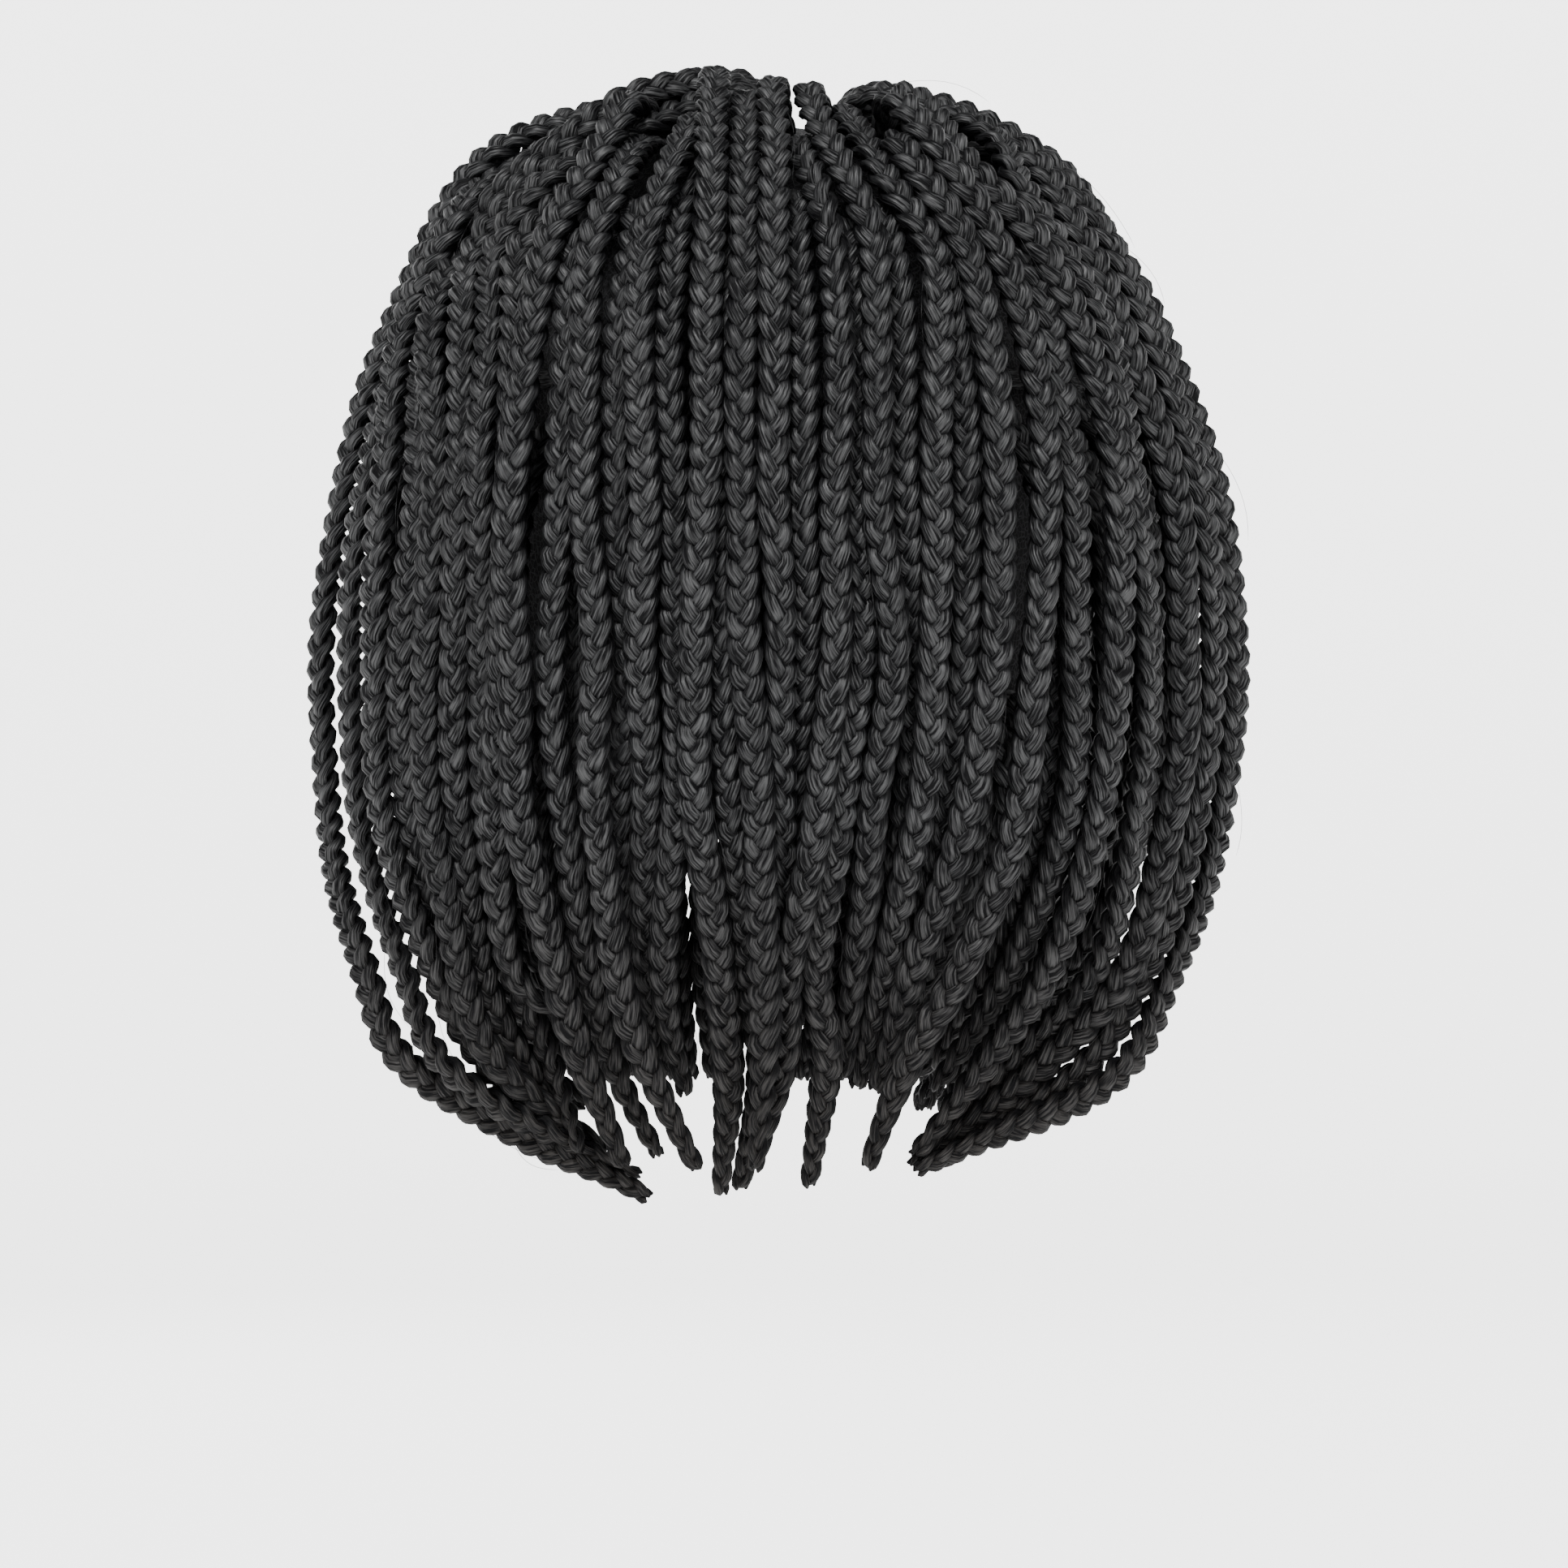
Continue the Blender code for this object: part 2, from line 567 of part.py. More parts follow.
def make_comb(section, braids, wig, helpers, material):
    """One section of braids, fused to the band of base hair that their roots are knotted into."""
    locks = bpy.data.collections.new(section + "_locks")
    helpers.children.link(locks)
    pieces = [make_lock(f"{section}_lock_{i}", braid) for i, braid in enumerate(braids)]
    for piece in pieces:
        locks.objects.link(piece)
        piece.hide_render = True
        piece.display_type = "WIRE"
    comb = make_band(section, [braid["points"][0] for braid in braids])
    wig.objects.link(comb)
    comb.data.materials.append(material)
    fuse = comb.modifiers.new("fuse locks", "BOOLEAN")
    fuse.operation = "UNION"
    fuse.operand_type = "COLLECTION"
    fuse.collection = locks
    fuse.solver = "MANIFOLD"
    return comb


def make_cap(wig, material):
    """The net cap: an open dome shaped to the head, with the rim high over the face and low at the nape."""
    mesh = bpy.data.meshes.new("cap")
    bm = bmesh.new()
    bmesh.ops.create_uvsphere(bm, u_segments=CAP_SIDES, v_segments=2 * CAP_RINGS, radius=1)
    below = [vert for vert in bm.verts if vert.co.z < -0.01]
    bmesh.ops.delete(bm, geom=below, context="VERTS")
    for vert in bm.verts:
        turn = math.atan2(vert.co.x, vert.co.y)
        polar = math.acos(min(max(vert.co.z, -1), 1)) / (math.pi / 2)
        rim = rim_height(turn)
        if rim > HEAD_WIDEST:
            full = math.acos(((rim - HEAD_WIDEST) / -HEAD_WIDEST) ** (HEAD_SQUARENESS / 2))
            full /= math.pi / 2
        else:
            full = 1 + (HEAD_WIDEST - rim) / NAPE_REACH
        reach = polar * full
        if reach < 1:
            height = HEAD_WIDEST * (1 - math.cos(reach * math.pi / 2) ** (2 / HEAD_SQUARENESS))
        else:
            height = HEAD_WIDEST - (reach - 1) * NAPE_REACH
        vert.co = Vector(head_point(turn, height)) if polar > 0 else Vector((0, 0, 0))
    bmesh.ops.recalc_face_normals(bm, faces=bm.faces)
    bm.to_mesh(mesh)
    bm.free()
    cap = bpy.data.objects.new("cap", mesh)
    wig.objects.link(cap)
    mesh.materials.append(material)
    shell = cap.modifiers.new("net thickness", "SOLIDIFY")
    shell.thickness = CAP_THICKNESS
    shell.offset = 1
    mesh.shade_smooth()
    return cap


def main():
    clear_scene()
    wig = bpy.data.collections.new("braid_wig")
    helpers = bpy.data.collections.new("braid_wig_locks")
    for collection in (wig, helpers):
        bpy.context.scene.collection.children.link(collection)
    hair = make_material("braided hair", HAIR_COLOUR, HAIR_ROUGHNESS)
    net = make_material("cap net", CAP_COLOUR, CAP_ROUGHNESS)
    make_cap(wig, net)
    sections = {}
    for braid in lay_out_braids():
        sections.setdefault(braid["section"], []).append(braid)
    for section, braids in sections.items():
        make_comb(section, braids, wig, helpers, hair)


main()
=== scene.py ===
"""Looks of the braid wig: three-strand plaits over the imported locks, net cap, floor, light and camera.

Metres, +Z up. The face opening looks along -Y and the back of the wig along +Y. The origin is the
top of the head, on the inner face of the cap.
"""

import functools
import math

import bpy
import numpy as np
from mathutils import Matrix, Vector


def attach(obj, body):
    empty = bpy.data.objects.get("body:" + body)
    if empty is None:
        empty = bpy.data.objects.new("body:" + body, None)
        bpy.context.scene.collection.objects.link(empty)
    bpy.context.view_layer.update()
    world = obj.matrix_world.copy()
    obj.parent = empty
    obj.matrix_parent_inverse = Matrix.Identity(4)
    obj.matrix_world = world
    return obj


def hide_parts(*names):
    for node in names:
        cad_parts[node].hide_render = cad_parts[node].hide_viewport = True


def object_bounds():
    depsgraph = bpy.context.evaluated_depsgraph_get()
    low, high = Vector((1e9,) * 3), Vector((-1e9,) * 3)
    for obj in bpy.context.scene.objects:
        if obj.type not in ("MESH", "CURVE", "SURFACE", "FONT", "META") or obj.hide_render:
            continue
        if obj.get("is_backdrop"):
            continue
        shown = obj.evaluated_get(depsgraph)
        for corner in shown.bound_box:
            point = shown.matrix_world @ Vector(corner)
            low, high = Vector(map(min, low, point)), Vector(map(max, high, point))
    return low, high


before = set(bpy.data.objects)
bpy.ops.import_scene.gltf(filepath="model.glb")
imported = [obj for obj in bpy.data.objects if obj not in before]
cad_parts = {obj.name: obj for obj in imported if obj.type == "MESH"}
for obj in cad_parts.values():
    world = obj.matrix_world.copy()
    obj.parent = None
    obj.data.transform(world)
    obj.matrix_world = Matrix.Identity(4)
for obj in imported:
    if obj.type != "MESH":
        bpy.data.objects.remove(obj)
CAD_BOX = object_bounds()

bl_info = {
    "name": "Braid wig",
    "version": (1, 0, 0),
    "blender": (4, 5, 0),
    "location": "3D View > Sidebar > Wig",
    "description": "Plaits a bob wig of black box braids over its packed locks",
    "category": "Object",
}

MM = 0.001

# The head that the cap is made for
HEAD_HALF_WIDTH = 76 * MM
HEAD_HALF_LENGTH = 94 * MM
HEAD_WIDEST = -95 * MM
HEAD_SQUARENESS = 2.3
NAPE_REACH = 75 * MM
NAPE_WIDTH_LOSS = 0.16
NAPE_LENGTH_LOSS = 0.24

# The cap
CAP_THICKNESS = 2 * MM
CAP_RIM = (
    # degrees from the middle of the back, height of the rim
    (0, -165 * MM),
    (50, -158 * MM),
    (85, -112 * MM),
    (105, -112 * MM),
    (125, -96 * MM),
    (150, -66 * MM),
    (180, -62 * MM),
)

# The outer form of the hair, level by level, from the top down
HAIR_FORM = (
    # height, half width, middle, back, front
    (13 * MM, 10 * MM, -12 * MM, 22 * MM, 12 * MM),
    (10 * MM, 26 * MM, -5 * MM, 44 * MM, 36 * MM),
    (4 * MM, 46 * MM, -3 * MM, 61 * MM, 54 * MM),
    (-6 * MM, 65 * MM, -1 * MM, 80 * MM, 71 * MM),
    (-20 * MM, 78 * MM, -1 * MM, 95 * MM, 83 * MM),
    (-32 * MM, 86 * MM, 0 * MM, 103 * MM, 88 * MM),
    (-48 * MM, 95 * MM, 1 * MM, 110 * MM, 92 * MM),
    (-69 * MM, 105 * MM, 0 * MM, 116 * MM, 94 * MM),
    (-89 * MM, 111 * MM, 0 * MM, 119 * MM, 95 * MM),
    (-110 * MM, 115 * MM, 1 * MM, 120 * MM, 95 * MM),
    (-130 * MM, 117 * MM, 1 * MM, 120 * MM, 93 * MM),
    (-151 * MM, 117 * MM, 2 * MM, 118 * MM, 90 * MM),
    (-171 * MM, 114 * MM, 2 * MM, 115 * MM, 85 * MM),
    (-192 * MM, 110 * MM, 3 * MM, 110 * MM, 78 * MM),
    (-212 * MM, 103 * MM, 5 * MM, 104 * MM, 70 * MM),
    (-233 * MM, 90 * MM, 6 * MM, 96 * MM, 62 * MM),
    (-253 * MM, 60 * MM, 10 * MM, 86 * MM, 50 * MM),
    (-270 * MM, 40 * MM, 10 * MM, 76 * MM, 40 * MM),
)

# One lock's sizes
BRAID_WIDTH = 7.2 * MM
BRAID_THICKNESS = 4.4 * MM
ROOT_SHARE = 0.5
TIP_SHARE = 0.45
GAP = 0.8 * MM
BAND_WIDTH = 5 * MM
BAND_THICKNESS = 1.6 * MM
BAND_LIFT = 0.7 * MM
BAND_STEP = 12 * MM
ROOT_RISE = 8 * MM
SHORT_RISE = 20 * MM
LONG_WAY = 25 * MM
OVER_CAP = 7.5 * MM
UNDER_CAP = 5.2 * MM

# The chart: the back of the wig drawn flat, seen from straight behind at the height of its middle.
# A position on it counts steps to the right and down from its top left corner.
CHART_STEP = 0.205 * MM
CHART_MIDDLE = 966
CHART_HEIGHT = -164.1 * MM
VIEW_DISTANCE = 1800 * MM
CHART_LEVELS = (300, 400, 600, 800, 1000, 1200, 1300)
TIP_DROP = 60
SWING_FROM = -190 * MM
SWING = 0.27
LEAST_DROP = 70
LONG_DROP = 115
TUCK_START = 700
TUCK_RUN = 500

# Braids of the back and sides. Root: millimetres to the left and back of the crown. Start: where the
# braid comes into view. Then its place across the chart at each level, its tip, and how far the tip
# tucks in under its neighbours, in millimetres.
CHART = (
    # section, root, start, across at each level, tip, tuck
    ("first_row_left_side", (1, -10), (617, 233), (560, 500, 428, 399, 405, 453, 505), (820, 1462), 0),
    ("first_row_left_side", (1, -2), (618, 225), (568, 504, 447, 432, 443, 503, 557), (792, 1450), 4),
    ("first_row_left_side", (1, 6), (628, 225), (577, 515, 477, 465, 475, 539, 593), (768, 1438), 8),
    ("first_row_left_side", (1, 14), (642, 226), (575, 541, 542, 528, 539, 580, 625), (745, 1420), 9),
    ("first_row_left_side", (1, 21), (658, 228), (593, 578, 569, 561, 560, 594, 640), (720, 1398), 12),
    ("first_row_left_side", (3, 28), (676, 228), (614, 600, 602, 598, 597, 625, 670), (742, 1385), 14),
    ("first_row_left_back", (13, 40), (880, 118), (873, 872, 870, 857, 860, 888, 897), (888, 1472), 0),
    ("first_row_left_back", (20, 20), (741, 156), (637, 633, 620, 615, 615, 640, 660), (700, 1260), 12),
    ("first_row_left_back", (26, 27), (758, 172), (683, 661, 635, 639, 643, 690, 725), (785, 1412), 3),
    ("first_row_left_back", (26, 36), (785, 153), (734, 723, 722, 735, 735, 764, 796), (866, 1421), 0),
    ("first_row_left_back", (19, 43), (857, 146), (798, 789, 797, 796, 805, 800, 805), (805, 1310), 10),
    ("first_row_left_back", (9, 46), (919, 122), (919, 916, 916, 924, 937, 945, 945), (935, 1400), 0),
    ("first_row_left_back", (-1, 40), (957, 114), (953, 951, 950, 957, 962, 968, 972), (972, 1300), 8),
    ("first_row_right_back", (-30, 49), (1105, 182), (1181, 1210, 1230, 1224, 1190, 1124, 1092), (1078, 1345), 6),
    ("first_row_right_back", (-22, 42), (1092, 140), (1222, 1262, 1290, 1276, 1256, 1183, 1120), (1065, 1430), 0),
    ("first_row_right_back", (-16, 38), (1043, 118), (1147, 1155, 1152, 1148, 1128, 1085, 1065), (1055, 1340), 12),
    ("first_row_right_back", (-12, 43), (994, 122), (1071, 1079, 1078, 1097, 1072, 1052, 1045), (1040, 1330), 10),
    ("first_row_right_back", (-6, 55), (985, 178), (1024, 1034, 1030, 1030, 1008, 971, 964), (930, 1425), 0),
    ("first_row_right_side", (-11, 27), (1122, 124), (1267, 1323, 1375, 1375, 1354, 1285, 1208), (1112, 1385), 8),
    ("first_row_right_side", (-11, 20), (1215, 165), (1306, 1359, 1398, 1415, 1406, 1360, 1288), (1112, 1400), 8),
    ("first_row_right_side", (-11, 13), (1268, 196), (1335, 1378, 1444, 1460, 1445, 1385, 1310), (1135, 1400), 6),
    ("first_row_right_side", (-11, 5), (1290, 207), (1360, 1410, 1476, 1493, 1476, 1412, 1338), (1122, 1408), 3),
    ("first_row_right_side", (-11, -3), (1307, 216), (1366, 1422, 1495, 1518, 1501, 1430, 1360), (1095, 1415), 0),
    ("second_row_back", (58, 40), (560, 330), (560, 522, 512, 495, 500, 565, 645), (725, 1362), 17),
    ("second_row_back", (48, 50), (700, 285), (700, 696, 690, 680, 693, 730, 750), (812, 1425), 6),
    ("second_row_back", (38, 58), (776, 255), (772, 761, 759, 772, 765, 775, 790), (790, 1310), 12),
    ("second_row_back", (27, 64), (840, 190), (828, 820, 825, 824, 830, 815, 830), (845, 1350), 2),
    ("second_row_back", (15, 68), (892, 260), (890, 887, 885, 887, 900, 925, 940), (912, 1465), 2),
    ("second_row_back", (-8, 71), (985, 240), (985, 989, 990, 992, 977, 965, 960), (958, 1345), 8),
    ("second_row_back", (-15, 69), (1046, 300), (1046, 1056, 1056, 1063, 1036, 1006, 1017), (997, 1462), 0),
    ("second_row_back", (-22, 67), (1097, 235), (1105, 1114, 1115, 1130, 1120, 1085, 1068), (1060, 1330), 12),
    ("second_row_back", (-38, 60), (1160, 270), (1168, 1180, 1191, 1187, 1165, 1110, 1085), (1080, 1340), 10),
    ("second_row_back", (-50, 50), (1262, 290), (1268, 1300, 1322, 1325, 1313, 1240, 1172), (1150, 1345), 14),
)

# Rows that follow a rule. Turn: degrees from the middle of the back.
PARTING_MIDDLE = -5 * MM
PARTING_HALF_WIDTH = 6 * MM
FRONT_BRAIDS = 9
FRONT_FIRST = -78 * MM
FRONT_STEP = 7.4 * MM
FRONT_TURNS = (143, 95)
SECOND_BRAIDS = 9
SECOND_FIRST = -60 * MM
SECOND_STEP = 9.6 * MM
SECOND_SIDE = 38 * MM
SECOND_TURNS = (139, 70)
FRONT_LEVELS = (-26 * MM, -64 * MM, -120 * MM, -182 * MM, -236 * MM)
FRONT_DRAW_IN = (0, 1 * MM, 6 * MM, 13 * MM, 26 * MM)
FRONT_SWEEP = (0, 0, 0, 8 * MM, 24 * MM)
SIDE_TUCK = 8 * MM
INNER_ROWS = (
    # name, braids, widest turn, root height, depth inside the outer form, levels, draw in at the tip
    ("inner_row", 22, 124, -66 * MM, 14 * MM, (-94, -140, -188, -234), 7 * MM),
    ("nape_row", 19, 50, -142 * MM, 22 * MM, (-162, -196, -236), 4 * MM),
)
INNER_SECTIONS = (
    # section, share of the row where it ends, counted from the left
    ("left", 8 / 22),
    ("back", 14 / 22),
    ("right", 1),
)
INNER_FRONT_INSET = 33 * MM

SETTLE_ROUNDS = 360
EASING = 0.12
HOMING = 0.04
INTERLEAVE = 1.2 * MM
TIE_BREAK = 0.001 * MM
SIDEWAYS = 0.25
MOST_STRAY = 12 * MM


def unit(vector):
    return vector / np.linalg.norm(vector, axis=-1, keepdims=True)


def head_share(height):
    """How much of the head's full width and length is left at a height."""
    if height > HEAD_WIDEST:
        rise = min((height - HEAD_WIDEST) / -HEAD_WIDEST, 1)
        share = (1 - rise**HEAD_SQUARENESS) ** (1 / HEAD_SQUARENESS)
        return share, share
    drop = ((HEAD_WIDEST - height) / NAPE_REACH) ** 2
    return 1 - NAPE_WIDTH_LOSS * drop, 1 - NAPE_LENGTH_LOSS * drop


def head_point(turn, height):
    wide, long = head_share(height)
    return np.array(
        (
            HEAD_HALF_WIDTH * wide * math.sin(turn),
            HEAD_HALF_LENGTH * long * math.cos(turn),
            height,
        )
    )


def head_top(across, back):
    """The point of the head under a place on its upper half."""
    share = min(math.hypot(across / HEAD_HALF_WIDTH, back / HEAD_HALF_LENGTH), 0.999)
    rise = (1 - share**HEAD_SQUARENESS) ** (1 / HEAD_SQUARENESS)
    return np.array((across, back, HEAD_WIDEST * (1 - rise)))


def head_level(points):
    """1 on the head, less inside it and more outside."""
    x, y, z = points.T
    rise = np.maximum((z - HEAD_WIDEST) / -HEAD_WIDEST, 0)
    drop = np.maximum((HEAD_WIDEST - z) / NAPE_REACH, 0) ** 2
    wide = HEAD_HALF_WIDTH * (1 - NAPE_WIDTH_LOSS * drop)
    long = HEAD_HALF_LENGTH * (1 - NAPE_LENGTH_LOSS * drop)
    flat = np.hypot(x / wide, y / long)
    return (flat**HEAD_SQUARENESS + rise**HEAD_SQUARENESS) ** (1 / HEAD_SQUARENESS)


def head_slope(points):
    """How fast the level grows along each axis."""
    steps = np.eye(3) * 0.1 * MM
    grown = [head_level(points + step) - head_level(points - step) for step in steps]
    return np.stack(grown, axis=1) / (0.2 * MM)


def head_normal(point):
    return unit(head_slope(np.array([point])))[0]


def above_head(points):
    """How far each point lies outside the head, near enough."""
    return (head_level(points) - 1) / np.linalg.norm(head_slope(points), axis=1)


def on_cap(point):
    """The point moved to the middle of the band of base hair that lies on the cap."""
    lift = CAP_THICKNESS + BAND_LIFT + BAND_THICKNESS / 2
    for _ in range(4):
        point = point + head_normal(point) * (lift - above_head(np.array([point]))[0])
    return point


def rim_height(turn):
    turns, heights = zip(*CAP_RIM)
    return float(np.interp(abs(math.degrees(turn)), turns, heights))


def hair_level(height):
    """Half width, middle, back and front of the hair's outer form at a height."""
    heights, *columns = zip(*HAIR_FORM[::-1])
    return [float(np.interp(height, heights, column)) for column in columns]


def hair_top(across, back):
    """The height of the hair's outer form over a place on its upper half."""
    for height in np.linspace(14 * MM, -60 * MM, 149):
        wide, middle, rear, front = hair_level(height)
        reach = rear if back > 0 else front
        if ((across - middle) / wide) ** 2 + (back / reach) ** 2 <= 1:
            return height
    return -60 * MM


def hair_normal(points):
    """Outward direction of the hair's outer form: up on the crown, level at the sides, down at the tips."""
    x, y, z = np.asarray(points).T
    up = np.maximum(z + 100 * MM, 0) / (114 * MM) ** 2
    down = np.minimum(z + 170 * MM, 0) / (140 * MM) ** 2
    return unit(np.stack((x / (117 * MM) ** 2, y / (119 * MM) ** 2, up + down), axis=1))


def on_chart(across, down, depth=0.0):
    """The point of the outer form, or of a form that much further in, at a place on the chart.

    Low down the form is taken wider, because the outermost braids swing round to the back there.
    """
    x = back = 0.0
    for _ in range(12):
        scale = CHART_STEP * (VIEW_DISTANCE - back) / VIEW_DISTANCE
        x = (CHART_MIDDLE - across) * scale
        height = CHART_HEIGHT - (down - CHART_MIDDLE) * scale
        wide, middle, rear, _ = hair_level(height)
        wide += SWING * max(SWING_FROM - height, 0) - 2 * MM
        share = min(abs(x - middle) / wide, 0.995)
        back = 0.5 * back + 0.5 * (rear - depth) * math.sqrt(1 - share**2)
    return np.array((x, back, height))


def rise_from(root, target):
    """The point where a braid has left the cap and turned towards its way down."""
    out = head_normal(root)
    way = target - root
    way = way - out * way.dot(out)
    return root + out * OVER_CAP + unit(way) * min(ROOT_RISE, np.linalg.norm(way) / 2)


def chart_braid(section, root, start, across, tip, tuck):
    row = section.split("_")[0]
    depth = {"first": 0, "second": 2.4 * MM}[row]
    base = on_cap(head_top(root[0] * MM, root[1] * MM))
    begin = on_chart(*start, depth)
    points = [base]
    if np.linalg.norm(begin - base) > SHORT_RISE:
        points.append(rise_from(base, begin))
    if np.linalg.norm(begin[:2] - points[-1][:2]) > LONG_WAY:
        over = (points[-1] + begin) / 2
        over[2] = hair_top(over[0], over[1]) - 2 * MM
        points.append(over)
    points.append(begin)
    depths = [depth] * len(points)
    stops = [(place, down) for place, down in zip(across, CHART_LEVELS) if down >= start[1] + LEAST_DROP]
    if CHART_LEVELS[0] - start[1] > LONG_DROP:
        stops.insert(0, ((start[0] + across[0]) / 2, (start[1] + CHART_LEVELS[0]) / 2))
    stops = [stop for stop in stops if stop[1] <= tip[1] - TIP_DROP]
    stops.append(tip)
    for place, down in stops:
        depths.append(depth + tuck * MM * min(max((down - TUCK_START) / TUCK_RUN, 0), 1))
        points.append(on_chart(place, down, depths[-1]))
    return {"section": section, "row": row, "points": np.array(points), "depths": np.array(depths)}


def side_braid(section, side, root, turn, depth):
    """A braid of the front or side, in front of the widest part, which the cheek side shows."""
    row = section.split("_")[0]
    base = on_cap(head_top(*root))
    course = []
    depths = [depth] * 3
    sideways = math.sin(turn) ** 6
    for height, draw_in, sweep in zip(FRONT_LEVELS, FRONT_DRAW_IN, FRONT_SWEEP):
        wide, middle, _, front = hair_level(height)
        under = SIDE_TUCK * sideways * min(max(-height / (60 * MM) - 0.4, 0), 1)
        inset = depth + draw_in + under
        depths.append(depth + under)
        x = middle + side * (wide - 3 * MM - inset - sweep * sideways / 3) * math.sin(turn)
        y = (front - 3 * MM - inset / 2) * math.cos(turn) + sweep * sideways
        course.append(np.array((x, y, height)))
    points = [base, rise_from(base, course[0])]
    over = (points[1] + course[0]) / 2
    over[2] = max(hair_top(over[0], over[1]) - 2 * MM, over[2]) - depth
    points.append(over)
    points.extend(course)
    return {"section": section, "row": row, "points": np.array(points), "depths": np.array(depths)}


def front_braids():
    for side, name in ((1, "left"), (-1, "right")):
        for i in range(FRONT_BRAIDS):
            root = (PARTING_MIDDLE + side * PARTING_HALF_WIDTH, FRONT_FIRST + i * FRONT_STEP)
            turn = np.interp(i, (0, FRONT_BRAIDS - 1), FRONT_TURNS)
            yield side_braid(f"first_row_{name}_front", side, root, math.radians(turn), 0)
        for i in range(SECOND_BRAIDS):
            root = (side * SECOND_SIDE, SECOND_FIRST + i * SECOND_STEP)
            turn = np.interp(i, (0, SECOND_BRAIDS - 1), SECOND_TURNS)
            yield side_braid(f"second_row_{name}", side, root, math.radians(turn), 4 * MM)


def inner_braids():
    for name, count, widest, root_height, depth, levels, draw_in in INNER_ROWS:
        for i in range(count):
            share = (i + 0.5) / count
            turn = math.radians(widest) * (1 - 2 * share)
            points = [on_cap(head_point(turn, max(root_height, rim_height(turn) + 8 * MM)))]
            for level in levels:
                height = level * MM
                wide, middle, back, front = hair_level(height)
                inset = depth + draw_in * (level == levels[-1])
                reach = back if math.cos(turn) > 0 else front
                if math.cos(turn) < 0.2:
                    wide -= INNER_FRONT_INSET * min(max(-level / 200, 0), 1)
                wide -= inset
                x = middle + wide * math.sin(turn)
                points.append(np.array((x, (reach - inset) * math.cos(turn), height)))
            section = name
            if name == "inner_row":
                section += "_" + next(part for part, end in INNER_SECTIONS if share < end)
            row = name.split("_")[0]
            depths = np.full(len(points), depth)
            yield {"section": section, "row": row, "points": np.array(points), "depths": depths}


def frames_along(points):
    """Directions along, across and out from the head at each point of a braid."""
    along = np.gradient(points, axis=0)
    along[0] = points[1] - points[0]
    along = unit(along)
    out = hair_normal(points)
    across = unit(np.cross(out, along))
    return along, across, unit(np.cross(along, across))


def half_sizes(braid):
    """Half width and half thickness of a braid at each point: slim at the root, full, fine at the tip."""
    count = len(braid["points"])
    share = np.ones(count)
    share[0] = ROOT_SHARE
    share[1] = (1 + ROOT_SHARE) / 2
    share[-2] = 0.86
    share[-1] = TIP_SHARE
    return share * BRAID_WIDTH / 2, share * BRAID_THICKNESS / 2


def closest_places(a0, a1, b0, b1):
    """Where two stretches come closest, as shares of their lengths."""
    da, db, r = a1 - a0, b1 - b0, a0 - b0
    a, e = (da * da).sum(1), (db * db).sum(1)
    b, c, f = (da * db).sum(1), (da * r).sum(1), (db * r).sum(1)
    s = np.clip((b * f - c * e) / np.maximum(a * e - b * b, 1e-18), 0, 1)
    t = np.clip((b * s + f) / e, 0, 1)
    return np.clip((b * t - c) / a, 0, 1), t


